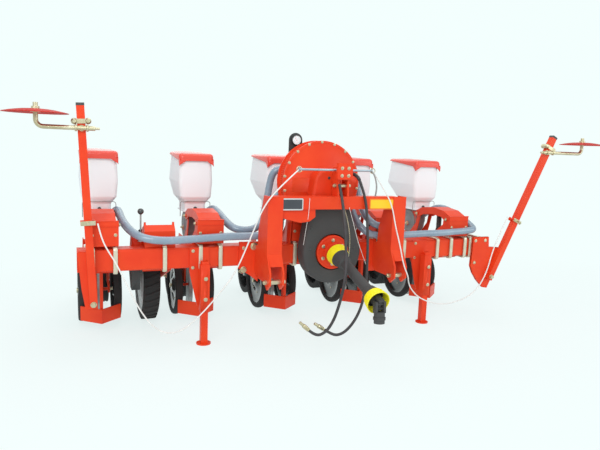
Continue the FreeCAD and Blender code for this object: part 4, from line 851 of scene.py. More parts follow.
@dataclass
class Hopper:
    """A blow-moulded seed hopper: rounded walls, slanting lower faces, neck, flange and wire bail."""

    row: int
    wall: float = 0.004
    levels: tuple[tuple[float, float, float, float, float], ...] = (
        (0.728, 0.07, 0.455, 0.66, 0.014), (0.784, 0.07, 0.455, 0.66, 0.016),
        (0.826, 0.103, 0.43, 0.706, 0.024), (0.925, 0.112, 0.43, 0.832, 0.026),
        (1.102, 0.103, 0.43, 0.8, 0.026))
    softness: float = 0.005

    def section(self, z: float) -> list[float]:
        """Half width, front, back and corner radius at a height, with soft changes between levels."""
        heights = [level[0] for level in self.levels]
        samples = np.clip(np.linspace(z - self.softness, z + self.softness, 9), heights[0], heights[-1])
        return [float(np.mean(np.interp(samples, heights, [level[k] for level in self.levels])))
                for k in (1, 2, 3, 4)]

    def rim(self, y: float, z: float) -> float:
        """The height of a point, kept under the sloping rim."""
        return min(z, 1.067 + (y - 0.43) * 0.088)

    def shell(self) -> Piece:
        """The hopper's walls."""
        shape = bmesh.new()
        heights = sorted({round(value, 4) for level in self.levels for value in np.linspace(
            level[0] - 0.01, level[0] + 0.01, 6)} | {round(v, 4) for v in np.linspace(0.84, 1.06, 12)})
        rings = []
        for z in (h for h in heights if 0.728 <= h <= 1.102):
            half, near, far, radius = self.section(z)
            ring = [shape.verts.new(at(row_x(self.row) + x, y, self.rim(y, z)))
                    for x, y in rounded_box(half, near, far, radius)]
            rings.append(ring)
        ring_faces(shape, rings)
        bmesh.ops.remove_doubles(shape, verts=shape.verts, dist=0.00002)
        piece = from_bmesh(f"row_{self.row}_seed_hopper", shape, TANK, angle=50.0)
        thick = piece.modifiers.new("wall", "SOLIDIFY")
        thick.thickness, thick.offset = self.wall, -1.0
        return baked(piece)

    def build(self) -> None:
        """Make the shell and its fittings."""
        body, x0 = f"row_{self.row}_unit", row_x(self.row)
        shell = self.shell()
        smooth(shell.data, 50.0)
        put(shell, body, f"row_{self.row}_hopper")
        flange = bmesh.new()
        rings = []
        for z, grow in ((0.7275, 0.0), (0.7275, 0.0075), (0.729, 0.0085), (0.7325, 0.0085), (0.734, 0.0075),
                        (0.734, 0.0)):
            rings.append([flange.verts.new(at(x0 + x, y, z)) for x, y in rounded_box(
                0.0705 + grow, 0.4545 - grow, 0.6605 + grow, 0.0145 + grow)])
        ring_faces(flange, rings + rings[:1])
        lugs = block(flange, at(x0 - 0.026, 0.8045, 1.071), at(x0 + 0.026, 0.8165, 1.093))
        bevelled(flange, 0.003, [e for e in flange.edges if all(v in lugs for v in e.verts)])
        put(from_bmesh(f"row_{self.row}_hopper_flange", flange, TANK), body)
        bail = [(-0.098, 0.452, 0.7), (-0.099, 0.448, 0.76), (-0.098, 0.444, 0.7965), (-0.06, 0.438, 0.7985),
                (0.0, 0.437, 0.798), (0.06, 0.438, 0.7985), (0.098, 0.444, 0.7965), (0.099, 0.448, 0.76),
                (0.098, 0.452, 0.7)]
        route = [at(x0 + x, y, z) for x, y, z in bail]
        route[3:3] = [route[2].lerp(route[3], 0.25)]
        wire(f"row_{self.row}_bail", route, 0.0022, STEEL, body)
        latch = bmesh.new()
        lathe(latch, at(x0, 0.454, 0.752), FORWARD, [(0, 0.011), (0.01, 0.011), (0.012, 0.008)], 16)
        lathe(latch, at(x0, 0.44, 0.7), Vector((0, 0.12, 1)), [(0, 0.007), (0.052, 0.007), (0.055, 0.004)], 12)
        put(from_bmesh(f"row_{self.row}_hopper_latch", latch, BLACK), body)


@dataclass
class Lid:
    """A crowned hopper lid: rounded edges, side and front skirts and a pointed ear at each front corner."""

    row: int
    half: float = 0.113
    reach: float = 0.408
    edge: float = 0.02
    wall: float = 0.003
    hinge: Pair = (0.822, 1.098)

    def crown(self, y: float) -> float:
        """Height of the lid's top over the hinge at a distance along it, with a soft ridge."""
        samples = np.linspace(y - 0.02, y + 0.02, 9)
        return float(np.mean(np.interp(samples, (-0.408, -0.394, -0.21, -0.04, -0.006),
                                       (0.008, 0.014, 0.027, 0.018, 0.01))))

    def skirt(self, y: float) -> float:
        """Height of the skirt's lower edge at a distance along the lid."""
        return float(np.interp(y, (-self.reach, -0.03), (-0.034, 0.0)))

    def build(self) -> None:
        """Make the lid's shell."""
        steps = (0.0, 0.0012, 0.0045, 0.0095, 0.0145, 0.02, 0.034, 0.06, 0.085, 0.1125)
        x0, (hinge_y, hinge_z) = row_x(self.row), self.hinge
        shape = bmesh.new()
        rings = []
        for inset in (None, *steps):
            depth = 0.0 if inset is None else inset
            radius = max(0.026 - depth * 0.6, 0.0004)
            ring = []
            for x, y in rounded_box(self.half - depth, depth - self.reach, -0.006 - depth, radius, 6):
                fall = self.edge - math.sqrt(max(self.edge ** 2 - max(self.edge - depth, 0.0) ** 2, 0.0))
                back = min(1.0, max(0.0, (-0.006 - y) / 0.05))
                z = self.crown(y) - fall * (0.35 + 0.65 * back)
                if inset is None:
                    z = min(self.skirt(y), z - 0.001)
                ring.append(shape.verts.new(at(x0 + x, hinge_y + y, hinge_z + z)))
            rings.append(ring)
        ring_faces(shape, rings)
        shape.faces.new(rings[-1])
        bmesh.ops.remove_doubles(shape, verts=shape.verts, dist=0.00005)
        piece = from_bmesh(f"row_{self.row}_hopper_lid", shape, LID_RED, angle=40.0)
        thick = piece.modifiers.new("wall", "SOLIDIFY")
        thick.thickness, thick.offset = self.wall, -1.0
        piece = baked(piece)
        ears = bmesh.new()
        for sign in (-1, 1):
            outline = [(-self.reach + 0.004, -0.02), (-self.reach + 0.001, -0.06), (-self.reach + 0.005, -0.066),
                       (-self.reach + 0.01, -0.062), (-self.reach + 0.058, -0.02)]
            prism(ears, [at(x0 + sign * (self.half - 0.0045), hinge_y + y, hinge_z + z) for y, z in outline],
                  Vector((sign * 0.004, 0, 0)))
            front_plate = [(self.half - 0.001, -0.03), (self.half - 0.001, -0.058), (self.half - 0.004, -0.06),
                           (self.half - 0.052, -0.03)]
            prism(ears, [at(x0 + sign * x, hinge_y - self.reach + 0.0005, hinge_z + z) for x, z in front_plate],
                  BACK * 0.0035)
        pin = bmesh.new()
        lathe(pin, at(x0 - 0.072, hinge_y, hinge_z), RIGHT, [(0, 0.0035), (0.001, 0.004), (0.143, 0.004),
                                                             (0.144, 0.0035)], 12)
        whole = joined(f"row_{self.row}_lid_shell", [piece.data, plain(ears, "ears"), plain(pin, "pin")], LID_RED)
        bpy.data.objects.remove(piece)
        put(whole, f"row_{self.row}_lid", f"row_{self.row}_lid")


@dataclass
class RowTrim:
    """What each row unit carries: the link's spring, the meter's ribbed cover and the hose's last bend."""

    row: int

    def spring(self) -> None:
        """The coil round the upper link's rod."""
        x0, y0, z0 = row_x(self.row), 0.234, 0.706
        turns, steps = 13, 12
        path = [at(x0 + x, y0 + y, z0 - 0.095 + 0.118 * k / (turns * steps))
                for k, (x, y) in enumerate((circle(steps, 0.0165) * (turns + 1))[:turns * steps + 1])]
        shape = bmesh.new()
        rings = []
        for k, point in enumerate(path):
            ahead = (path[min(k + 1, len(path) - 1)] - path[max(k - 1, 0)]).normalized()
            out = (point - at(x0, y0, point.z + ORIGIN.z)).normalized()
            out = (out - ahead * out.dot(ahead)).normalized()
            up = ahead.cross(out)
            rings.append([shape.verts.new(point + out * x + up * y) for x, y in circle(7, 0.0036)])
        capped(shape, rings)
        put(from_bmesh(f"row_{self.row}_spring_coil", shape, BLACK), f"row_{self.row}_upper_link")

    def meter(self) -> None:
        """Ribbed cover and hub of the seed meter."""
        x0, body = row_x(self.row), f"row_{self.row}_unit"
        shape = bmesh.new()
        for sign in (-1, 1):
            start = at(x0 + sign * 0.0425, *METER_AXLE)
            lathe(shape, start, RIGHT * sign, [(0, 0.0905), (0.004, 0.0905), (0.0065, 0.088), (0.0065, 0.07),
                                                       (0.004, 0.068), (0.004, 0.04), (0.009, 0.036),
                                                       (0.0115, 0.03)], 48)
            for y, z in circle(10):
                ray, across = Vector((0, y, z)), Vector((0, -z, y))
                out = RIGHT * sign
                foot = start + out * 0.0035
                base = [foot + ray * r + across * w for r, w in ((0.034, -0.002), (0.07, -0.002), (0.07, 0.002),
                                                                 (0.034, 0.002))]
                prism(shape, base, out * 0.0025)
        for k in range(5):
            z = 0.64 + 0.016 * k
            prism(shape, [at(x0 + x, 0.4735, z + up) for x, up in (
                (-0.0445, 0), (-0.0445, 0.005), (0.0445, 0.005), (0.0445, 0))], BACK * 0.004)
        put(from_bmesh(f"row_{self.row}_meter_cover", shape, METER), body)

    def bend(self) -> None:
        """The hose's last bend from the linkage to the meter."""
        route = SUCTION_ROUTES[self.row]
        x0 = row_x(self.row)
        start = SuctionHoses().parting(self.row)
        points = [start, Vector(route[1]), Vector(route[0]), Vector((x0 + 0.098, 0.43, 0.746)),
                  Vector((x0 + 0.082, 0.47, 0.722)), Vector((x0 + 0.066, 0.51, 0.69)),
                  Vector((x0 + 0.047, 0.54, 0.662))]
        piece, _ = SuctionHoses().ribbed_tube(f"row_{self.row}_hose_bend", [at(*p) for p in points])
        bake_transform(piece)

    def build(self) -> None:
        """Make the row unit's trim."""
        self.spring()
        self.meter()
        self.bend()


@dataclass
class Wheel:
    """A wheel on its axle: rounded tyre, dished covers and hub, turned about the x axis."""

    name: str
    node: str
    body: str
    centre: Point
    inner: float
    outer: float
    radius: float
    tread: float
    gloss: Finish
    cover: tuple[Pair, ...]
    mirrored: bool = False

    def tyre(self) -> list[Pair]:
        """Half section of the tyre from the inner bead over the tread to the outer bead."""
        wide, bead = self.outer - self.inner, self.radius - self.tread
        mid, half = (self.inner + self.outer) / 2, wide / 2
        bulge = min(self.tread * 0.55, half * 0.6)
        points = [(self.inner + 0.006, bead - 0.01), (self.inner + 0.001, bead + 0.002)]
        for k in range(9):
            angle = math.radians(180 - 90 * k / 8)
            points.append((self.inner + bulge + bulge * math.cos(angle),
                           self.radius - bulge + bulge * math.sin(angle) - 0.002))
        points += [(mid - half * 0.35, self.radius - 0.0008), (mid, self.radius)]
        return points + [(2 * mid - x, r) for x, r in reversed(points[:-1])]

    def build(self) -> Piece:
        """Make the wheel or the pair of wheels."""
        shape = bmesh.new()
        mid = (self.inner + self.outer) / 2
        for sign in ((1, -1) if self.mirrored else (1,)):
            start, way = at(*self.centre), RIGHT * sign
            closed_lathe(shape, start, way, self.tyre() + [(mid + 0.004, self.radius - self.tread - 0.014),
                                                       (mid - 0.004, self.radius - self.tread - 0.014)], 72)
            closed_lathe(shape, start, way, list(self.cover), 60, 1)
        return put(from_bmesh(self.name, shape, RUBBER, self.gloss), self.body, self.node)


@dataclass
class RunningGear:
    """Gauge wheels, press wheels and the drive wheel with its block tread."""

    def gauge_pair(self, row: int) -> None:
        """Two gauge wheels with glossy dished covers and small bolts."""
        cover = ((0.084, 0.174), (0.092, 0.168), (0.1, 0.15), (0.1, 0.06), (0.09, 0.046), (0.084, 0.04),
                 (0.084, 0.0112), (0.128, 0.0112), (0.128, 0.036), (0.12, 0.048), (0.112, 0.064),
                 (0.108, 0.11), (0.112, 0.15), (0.122, 0.17), (0.1275, 0.174), (0.126, 0.1775), (0.105, 0.176),
                 (0.088, 0.1775))
        centre = (row_x(row), *GAUGE_AXLE)
        Wheel(f"row_{row}_gauge_tyres", f"row_{row}_gauge_wheels", f"row_{row}_gauge_wheels", centre, 0.08, 0.13,
              0.2, 0.026, GLOSS, cover, True).build()
        spots = []
        for sign in (-1, 1):
            spots += [Spot(at(centre[0] + sign * 0.1078, centre[1] + y, centre[2] + z), RIGHT * sign, 0.62)
                      for y, z in circle(6, 0.088, 15)]
        bolted(f"row_{row}_gauge_bolts", spots, f"row_{row}_gauge_wheels")

    def press(self, row: int) -> None:
        """The ribbed press wheel behind the unit."""
        shape = bmesh.new()
        start, way = at(row_x(row), *PRESS_AXLE), RIGHT
        outer = [(-0.079, 0.128), (-0.08, 0.15), (-0.079, 0.163)]
        for k in range(8):
            x = -0.072 + 0.144 * k / 7
            outer += [(x - 0.006, 0.168), (x - 0.002, 0.17), (x + 0.002, 0.17), (x + 0.006, 0.168), (x + 0.008, 0.163)]
        outer += [(0.08, 0.15), (0.079, 0.128), (0.004, 0.122), (-0.004, 0.122)]
        closed_lathe(shape, start, way, [(max(min(x, 0.08), -0.08), r) for x, r in outer], 72)
        closed_lathe(shape, start, way, [(-0.078, 0.0112), (-0.078, 0.034), (-0.06, 0.044), (-0.012, 0.052),
                                         (-0.01, 0.118), (-0.076, 0.1285), (0.076, 0.1285), (0.01, 0.118),
                                         (0.012, 0.052), (0.06, 0.044), (0.078, 0.034), (0.078, 0.0112)], 60, 1)
        put(from_bmesh(f"row_{row}_press_tyre", shape, RUBBER, GLOSS), f"row_{row}_press_wheel",
            f"row_{row}_press_wheel")

    def drive(self) -> None:
        """The drive wheel: tyre, silver rim, zinc hub and two rows of slanting tread blocks."""
        centre = (-0.9, *DRIVE_AXLE)
        cover = ((-0.046, 0.238), (-0.05, 0.246), (-0.046, 0.2525), (-0.01, 0.249), (0.01, 0.249), (0.046, 0.2525),
                 (0.05, 0.246), (0.046, 0.238), (0.036, 0.226), (0.018, 0.19), (0.014, 0.11), (0.02, 0.062),
                 (0.048, 0.044), (0.05, 0.036), (0.05, 0.0112), (-0.05, 0.0112), (-0.05, 0.036),
                 (-0.048, 0.046), (-0.045, 0.06), (-0.046, 0.19), (-0.04, 0.206), (-0.04, 0.226))
        Wheel("drive_tyre", "drive_wheel", "drive_wheel", centre, -0.052, 0.052, 0.2925, 0.044, RIM, cover).build()
        block = bmesh.new()
        low = [block.verts.new(co) for co in ((-0.046, -0.012, -0.004), (-0.046, 0.01, -0.004),
                                              (0.004, 0.024, -0.001), (0.004, 0.004, -0.001))]
        top = [block.verts.new(co) for co in ((-0.043, -0.009, 0.0055), (-0.043, 0.007, 0.0055),
                                              (0.003, 0.0205, 0.0072), (0.003, 0.0065, 0.0072))]
        capped(block, [low, top])
        lug = plain(block, "tread_block")
        count, spots = 34, []
        for side in (0, 1):
            for k in range(count):
                angle = 2 * math.pi * (k + 0.5 * side) / count
                ray = Vector((0, math.sin(angle), math.cos(angle)))
                axle = ray.to_track_quat("Z", "Y").to_matrix().transposed() @ RIGHT
                spots.append(Spot(at(*centre) + ray * 0.2925, ray, 1.0, math.atan2(axle.y, axle.x) + math.pi * side))
        Scatter().build("drive_tread", lug, spots, RUBBER, "drive_wheel", "tyre_rubber")
        bolts = [Spot(at(centre[0] + 0.0135, centre[1] + y, centre[2] + z), RIGHT, 1.1) for y, z in circle(5, 0.082)]
        bolted("drive_wheel_bolts", bolts, "drive_wheel")

    def build(self) -> None:
        """Make all wheels."""
        for row in ROWS:
            self.gauge_pair(row)
            self.press(row)
        self.drive()


@dataclass
class UBolts:
    """Flattened U-bolts over the toolbar's front, with their nuts behind the plates."""

    low: float = 0.4387
    high: float = 0.5803
    reach: float = 0.1373
    flush: tuple[float, ...] = (-0.868, 1.308, 1.382)
    raised: tuple[float, ...] = (0.74, 1.014)

    def spots(self) -> list[Pair]:
        """(x, stand-off) of every U-bolt."""
        places = [(row_x(row) + side, 0.0) for row in ROWS for side in (-0.06, 0.06)]
        return places + [(x, 0.0) for x in self.flush] + [(x, 0.0123) for x in self.raised]

    def bent(self, stand_off: float) -> Mesh:
        """One U-bolt, flat over the bar's front and round where it runs back, at x = 0."""
        y = -0.0083 - stand_off
        path, flat = [], []
        back = self.reach + 0.0215
        corner = 0.013
        for z, order in ((self.high, 1), (self.low, -1)):
            leg = [Vector((0, back - (back - y - corner) * k / 6, z)) for k in range(6)]
            bend = [Vector((0, y + corner - corner * math.sin(a), z - order * (corner - corner * math.cos(a))))
                    for a in (math.radians(15 * k) for k in range(7))]
            part = leg + bend
            widths = [0.0, 0.0, 0.0, 0.0, 0.1, 0.6] + [0.9] * 7
            path += part if order == 1 else part[::-1]
            flat += widths if order == 1 else widths[::-1]
        middle = len(path) // 2
        run = [path[middle - 1].lerp(path[middle], k / 4) for k in (1, 2, 3)]
        path[middle:middle] = run
        flat[middle:middle] = [1.0, 1.0, 1.0]
        shape = bmesh.new()
        swept(shape, path, lambda k: (0.008 + 0.0045 * flat[k], 0.008 - 0.0012 * flat[k], 2.0 + 2.6 * flat[k]),
              RIGHT, 18)
        for z in (self.high, self.low):
            lathe(shape, Vector((0, self.reach + 0.0003, z)), BACK, [(0, 0.0155), (0.0022, 0.0155)], 18)
            lathe(shape, Vector((0, self.reach + 0.0024, z)), BACK,
                  [(0, 0.0118), (0.001, 0.0128), (0.0108, 0.0128), (0.0122, 0.0112)], 6)
        return plain(shape, "u_bolt", 40.0)

    def build(self) -> None:
        """Make the U-bolts in two lengths of leg."""
        for name, stand_off in (("u_bolts_bar", 0.0), ("u_bolts_stand", 0.0123)):
            straight = UP.to_track_quat("Z", "Y").to_matrix() @ RIGHT
            spin = -math.atan2(straight.y, straight.x)
            spots = [Spot(at(x, 0, 0), UP, 1.0, spin) for x, off in self.spots() if off == stand_off]
            piece = Scatter().build(name, self.bent(stand_off), spots, STRAP, "frame", "zinc")
            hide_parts("u_bolts")


@dataclass
class BeltGuard:
    """The black teardrop guard: rounded front edge, round window over the pulley, posts and bearing."""

    wheel: Point = (*PULLEY, 0.2)
    upper: Point = (*FAN, 0.092)
    near: float = -0.135
    far: float = -0.045
    window: float = 0.113
    edge: float = 0.02
    seam: float = 0.874

    def outline(self, inset: float) -> list[Pair]:
        """The hull of the two round ends, moved inwards.

        Args:
            inset: how far inwards.

        Returns:
            (x, z) points, always as many.
        """
        (x1, z1, r1), (x2, z2, r2) = self.wheel, self.upper
        gap = math.hypot(x2 - x1, z2 - z1)
        lean = math.atan2(z2 - z1, x2 - x1)
        open_angle = math.acos((r1 - r2) / gap)
        points = []
        for x, z, r, start, end in ((x1, z1, r1, lean + open_angle, lean + 2 * math.pi - open_angle),
                                    (x2, z2, r2, lean - open_angle, lean + open_angle)):
            count = 56 if r == r1 else 26
            for k in range(count + 1):
                angle = start + (end - start) * k / count
                points.append((x + (r - inset) * math.cos(angle), z + (r - inset) * math.sin(angle)))
        return points

    def circle(self, radius: float, count: int = 48) -> list[Pair]:
        """A circle round the pulley's shaft."""
        x, z, _ = self.wheel
        return [(x + dx, z + dz) for dx, dz in circle(count, radius)]

    def build(self) -> None:
        """Make the guard as one closed shell."""
        shape = bmesh.new()

        def ring(points: Iterable[Pair], y: float) -> list[Vert]:
            """Vertices of a ring at a depth."""
            return [shape.verts.new(at(x, y, z)) for x, z in points]

        def annulus(one: list[Vert], two: list[Vert]) -> None:
            """Fill the flat between two rings."""
            edges = []
            for loop in (one, two):
                for k, vert in enumerate(loop):
                    pair = (vert, loop[(k + 1) % len(loop)])
                    edges.append(shape.edges.get(pair) or shape.edges.new(pair))
            bmesh.ops.triangle_fill(shape, use_beauty=True, use_dissolve=False, edges=edges)

        rings = [ring(self.outline(0.0), self.far), ring(self.outline(0.0), self.near + self.edge)]
        for k in range(1, 7):
            angle = math.radians(15 * k)
            rings.append(ring(self.outline(self.edge * (1 - math.cos(angle))),
                              self.near + self.edge * (1 - math.sin(angle))))
        ring_faces(shape, rings)
        mouth = [ring(self.circle(self.window + w), y) for w, y in (
            (0.006, self.near), (0.0018, self.near + 0.0018), (0.0, self.near + 0.006), (0.0, -0.051),
            (-0.094, -0.051), (-0.094, self.far))]
        ring_faces(shape, mouth)
        annulus(rings[-1], mouth[0])
        annulus(rings[0], mouth[-1])
        x, z, _ = self.wheel
        for dx, dz, radius in ((0.0, 0.0, 0.034), (-0.155, -0.02, 0.012), (0.155, -0.02, 0.012)):
            profile = [(0.0, radius), (0.0425, radius), (0.0447, radius - 0.002)]
            if dx:
                lathe(shape, at(x + dx, self.far, z + dz), BACK, profile, 24)
            else:
                closed_lathe(shape, at(x, self.far + 0.0002, z), BACK,
                             [(0, radius), (0.0425, radius), (0.0445, radius - 0.002), (0.0445, 0.0182), (0, 0.0182)],
                             36, 0)
        seam = at(0.0, 0.0, self.seam)
        bmesh.ops.bisect_plane(shape, geom=[*shape.verts, *shape.edges, *shape.faces], plane_co=seam,
                               plane_no=UP)
        for face in shape.faces:
            face.material_index = int(face.calc_center_median().z > seam.z)
        put(from_bmesh("teardrop_guard", shape, GUARD, RED, angle=30.0), "frame", "belt_guard")
        bolts = [front(0.095, -0.1352, 1.0, 0.9), front(-0.01, -0.1352, 0.69, 0.9),
                 front(0.29, -0.1352, 0.56, 0.9), front(-0.01, -0.1352, 0.56, 0.9)]
        Scatter().build("guard_bolts", Head.DOME.mesh(), bolts, BLACK, "frame", "black_paint")


@dataclass
class Driveline:
    """Face of the drive pulley, ribs of the yellow cones and the bells, and the guard's chain."""

    def way(self) -> Vector:
        """The shaft's direction, out from the machine and down."""
        return Vector((0, -math.cos(SHAFT_DROOP), -math.sin(SHAFT_DROOP)))

    def along(self, distance: float, radius: float = 0.0, angle: float = 0.0) -> Vector:
        """A point of the shaft's frame: how far out along it, and off its axis."""
        axis = self.way()
        up = Vector((0, -math.sin(SHAFT_DROOP), math.cos(SHAFT_DROOP)))
        start = at(PULLEY[0], SHAFT_START, PULLEY[1])
        return start + axis * distance + RIGHT * radius * math.sin(angle) + up * radius * math.cos(angle)

    def pulley(self) -> None:
        """Raised hub, ring and bolts on the pulley's face."""
        x, z = PULLEY
        shape = bmesh.new()
        closed_lathe(shape, at(x, -0.1368, z), FORWARD,
                     [(0, 0.1065), (0.0035, 0.1065), (0.005, 0.1045), (0.005, 0.0965), (0.0035, 0.095), (0, 0.095)],
                     64, 0)
        closed_lathe(shape, at(x, -0.1368, z), FORWARD,
                     [(0, 0.058), (0.006, 0.056), (0.01, 0.04), (0.012, 0.0178), (0, 0.0178)], 48)
        put(from_bmesh("pulley_face", shape, RED), "drive_pulley")
        bolts = [front(x + dx, -0.137, z + dz) for dx, dz in circle(6, 0.074, 30)]
        bolted("pulley_bolts", bolts, "drive_pulley")

    def cones(self) -> None:
        """Moulded ribs round both yellow cones."""
        shape, way = bmesh.new(), self.way()
        for distances in ((0.002, 0.016, 0.031, 0.046), (0.546, 0.532, 0.517, 0.502)):
            for k, distance in enumerate(distances):
                radius = 0.066 - 0.00012 / 0.058 * k
                closed_lathe(shape, self.along(distance), way,
                             [(-0.0022, radius - 0.002), (-0.0016, radius + 0.0016), (0.0016, radius + 0.0016),
                              (0.0022, radius - 0.002)], 56)
        put(from_bmesh("cone_ribs", shape, YELLOW), "frame")
        bells = bmesh.new()
        for start, step in ((0.066, 0.011), (0.494, -0.011)):
            for k in range(5):
                radius = 0.0545 - 0.003 * k
                closed_lathe(bells, self.along(start + step * k), way,
                             [(-0.0026, radius - 0.004), (-0.0018, radius), (0.0018, radius), (0.0026, radius - 0.004)],
                             48, 0)
        put(from_bmesh("bell_ribs", bells, GUARD), "frame")

    def chain(self) -> None:
        """The light chain that keeps the guard from turning."""
        top, low = at(0.133, -0.24, 0.872), self.along(0.105, 0.046, 0.5)
        link_shape = bmesh.new()
        loop = [Vector((0.0035 * math.sin(a), 0, 0.0075 * math.cos(a) + 0.004 * math.copysign(1, math.cos(a))))
                for a in (2 * math.pi * k / 12 for k in range(12))]
        rings = []
        for k, point in enumerate(loop):
            ahead = (loop[(k + 1) % 12] - loop[k - 1]).normalized()
            out = ahead.cross(BACK).normalized()
            rings.append([link_shape.verts.new(point + BACK * x + out * z) for x, z in circle(6, 0.0013)])
        ring_faces(link_shape, rings + rings[:1])
        part = plain(link_shape, "chain_link", 35.0)
        sag = Vector((0.012, -0.03, 0.0))
        count = 26
        points = [top.lerp(low, k / count) + sag * (4 * (k / count) * (1 - k / count)) for k in range(count + 1)]
        spots = [Spot(points[k].lerp(points[k + 1], 0.5), (points[k + 1] - points[k]).normalized(),
                      (points[k + 1] - points[k]).length / 0.0185, math.pi / 2 * (k % 2)) for k in range(count)]
        Scatter().build("guard_chain", part, spots, ZINC, "frame", "zinc")

    def build(self) -> None:
        """Make the driveline's pieces."""
        self.pulley()
        self.cones()
        self.chain()


@dataclass
class FanTrim:
    """The fan casing with its rims, bolts and elbow, the valve block, blank badge and label, and the dial."""

    face: float = -0.03
    inset: float = 0.027

    def drawn_in(self, point: Vector) -> Vector:
        """A machine point of the casing, drawn in towards its centre above the headstock's beam."""
        x, z = FAN
        away = math.hypot(point.x - x, point.z - z)
        if away < 0.262 or not self.face - 0.0025 < point.y < 0.0825:
            return point
        step = self.inset * min(1.0, max(0.0, (point.z - 0.78) / 0.1))
        scale = 1.0 - step / away
        return Vector((x + (point.x - x) * scale, point.y, z + (point.z - z) * scale))

    def casing(self, node: Piece) -> None:
        """The fan's casing, with its rims drawn in."""
        put(reshaped("fan_casing", node, self.drawn_in), "frame", "fan_housing")

    def plate(self, name: str, x: float, y: float, z: float, size: Pair, thick: float,
              finish: Finish, border: Finish | None = None) -> Piece:
        """A thin blank plate on a forward face, with rounded corners and a border if asked.

        Args:
            name: the piece's name.
            x: its middle along the bar.
            y: the face that it lies on.
            z: its middle height.
            size: width and height.
            thick: thickness.
            finish: its finish.
            border: the finish of its border.

        Returns:
            The plate.
        """
        shape = bmesh.new()
        rings = []
        for inset, depth in ((0.0, 0.0), (0.0, thick * 0.7), (thick * 0.4, thick), (0.0075, thick)):
            rings.append([shape.verts.new(at(x + px, y - depth, z + pz)) for px, pz in rounded_box(
                size[0] / 2 - inset, -size[1] / 2 + inset, size[1] / 2 - inset, 0.008 - inset * 0.8, 3)])
        ring_faces(shape, rings, 1 if border else 0)
        shape.faces.new(rings[-1])
        shape.faces.new(rings[0][::-1])
        return put(from_bmesh(name, shape, finish, *([border] if border else [])), "frame")

    def rims(self) -> None:
        """Bolts round the casing's front rim, and rolled edges of both rims."""
        x, z = FAN
        spots = [front(x + dx, self.face + 0.0002, z + dz, 0.8) for dx, dz in circle(18, 0.2785, 12)]
        spots += [front(x + 0.196 * math.cos(a), self.face - 0.0122, z - 0.06 + 0.15 * math.sin(a), 0.75)
                  for a in (math.radians(d) for d in (195, 222, 255, 285, 318, 345))]
        spots = [Spot(self.drawn_in(spot.foot + ORIGIN) - ORIGIN, spot.way, spot.size) for spot in spots]
        bolted("fan_rim_bolts", spots)
        shape = bmesh.new()
        for y in (self.face, 0.07):
            closed_lathe(shape, at(x, y, z), BACK,
                         [(-0.0012, 0.2835), (0.0, 0.2866), (0.01, 0.2866), (0.0112, 0.2835), (0.0112, 0.272),
                          (-0.0012, 0.272)], 96)
        for vert in shape.verts:
            vert.co = self.drawn_in(vert.co + ORIGIN) - ORIGIN
        put(from_bmesh("fan_rims", shape, RED), "frame")

    def elbow(self) -> None:
        """The black elbow of the hydraulic line on the casing."""
        shape = bmesh.new()
        path = [at(0.256, -0.226, 0.996), at(0.25, -0.214, 1.012), at(0.238, -0.19, 1.028), at(0.222, -0.15, 1.034),
                at(0.208, -0.1, 1.034), at(0.2, -0.04, 1.034)]
        rings = []
        for k, point in enumerate(path):
            ahead = (path[min(k + 1, 5)] - path[max(k - 1, 0)]).normalized()
            out = ahead.orthogonal().normalized() if k == 0 else (out - ahead * out.dot(ahead)).normalized()
            up = ahead.cross(out)
            rings.append([shape.verts.new(point + out * x + up * y) for x, y in circle(12, 0.0105)])
        capped(shape, rings)
        put(from_bmesh("fan_elbow", shape, HYDRAULIC), "frame")

    def valve(self) -> None:
        """The red valve block on the mast, with four plugs."""
        block = bmesh.new()
        outline = [at(0.093 + x, -0.2315, 0.996 + z) for x, z in ((0, 0), (0.104, 0), (0.104, 0.1), (0, 0.1))]
        prism(block, outline, FORWARD * 0.022)
        bevelled(block, 0.004)
        put(from_bmesh("valve_block", block, RED), "frame")
        plugs = [front(0.145 + x, -0.2535, 1.043 + z, 0.9) for x in (-0.022, 0.022) for z in (-0.022, 0.022)]
        bolted("valve_plugs", plugs, "frame", Head.NUT)

    def dial(self) -> None:
        """The gauge's bezel, white dial with plain ticks and a pointer."""
        x, z, y = -0.04, 1.223, 0.0803
        rim = bmesh.new()
        closed_lathe(rim, at(x, y, z), FORWARD,
                     [(-0.002, 0.0318), (0.003, 0.0318), (0.0042, 0.03), (0.003, 0.0278), (-0.002, 0.0278)], 48, 0)
        put(from_bmesh("gauge_bezel", rim, BLACK), "frame")
        face = bmesh.new()
        lathe(face, at(x, y - 0.0001, z), FORWARD, [(0, 0.0279), (0.001, 0.0279)], 48)
        for k in range(11):
            angle = math.radians(225 - 27 * k)
            ray = Vector((math.cos(angle), 0, math.sin(angle)))
            side = Vector((-ray.z, 0, ray.x))
            length = 0.006 if k % 5 == 0 else 0.0035
            foot = at(x, y - 0.0012, z) + ray * (0.0255 - length)
            quad = [face.verts.new(foot + ray * a + side * b) for a, b in (
                (0, -0.0004), (length, -0.0004), (length, 0.0004), (0, 0.0004))]
            face.faces.new(quad).material_index = 1
        hand = [face.verts.new(at(x, y - 0.0018, z) + Vector(p)) for p in (
            (-0.0009, 0, -0.004), (0.0009, 0, -0.004), (-0.0125, 0, 0.0165), (-0.013, 0, 0.016))]
        face.faces.new(hand).material_index = 2
        put(from_bmesh("gauge_dial", face, DIAL, BLACK, LID_RED), "frame")

    def build(self) -> None:
        """Make the fan's trim."""
        self.rims()
        self.elbow()
        self.valve()
        self.dial()
        self.plate("blank_badge", -0.187, MAST_FACE, 0.85, (0.152, 0.07), 0.002, BADGE, RIM)
        self.plate("blank_label", 0.45, MAST_FACE, 0.85, (0.24, 0.066), 0.001, LABEL, LABEL_EDGE)


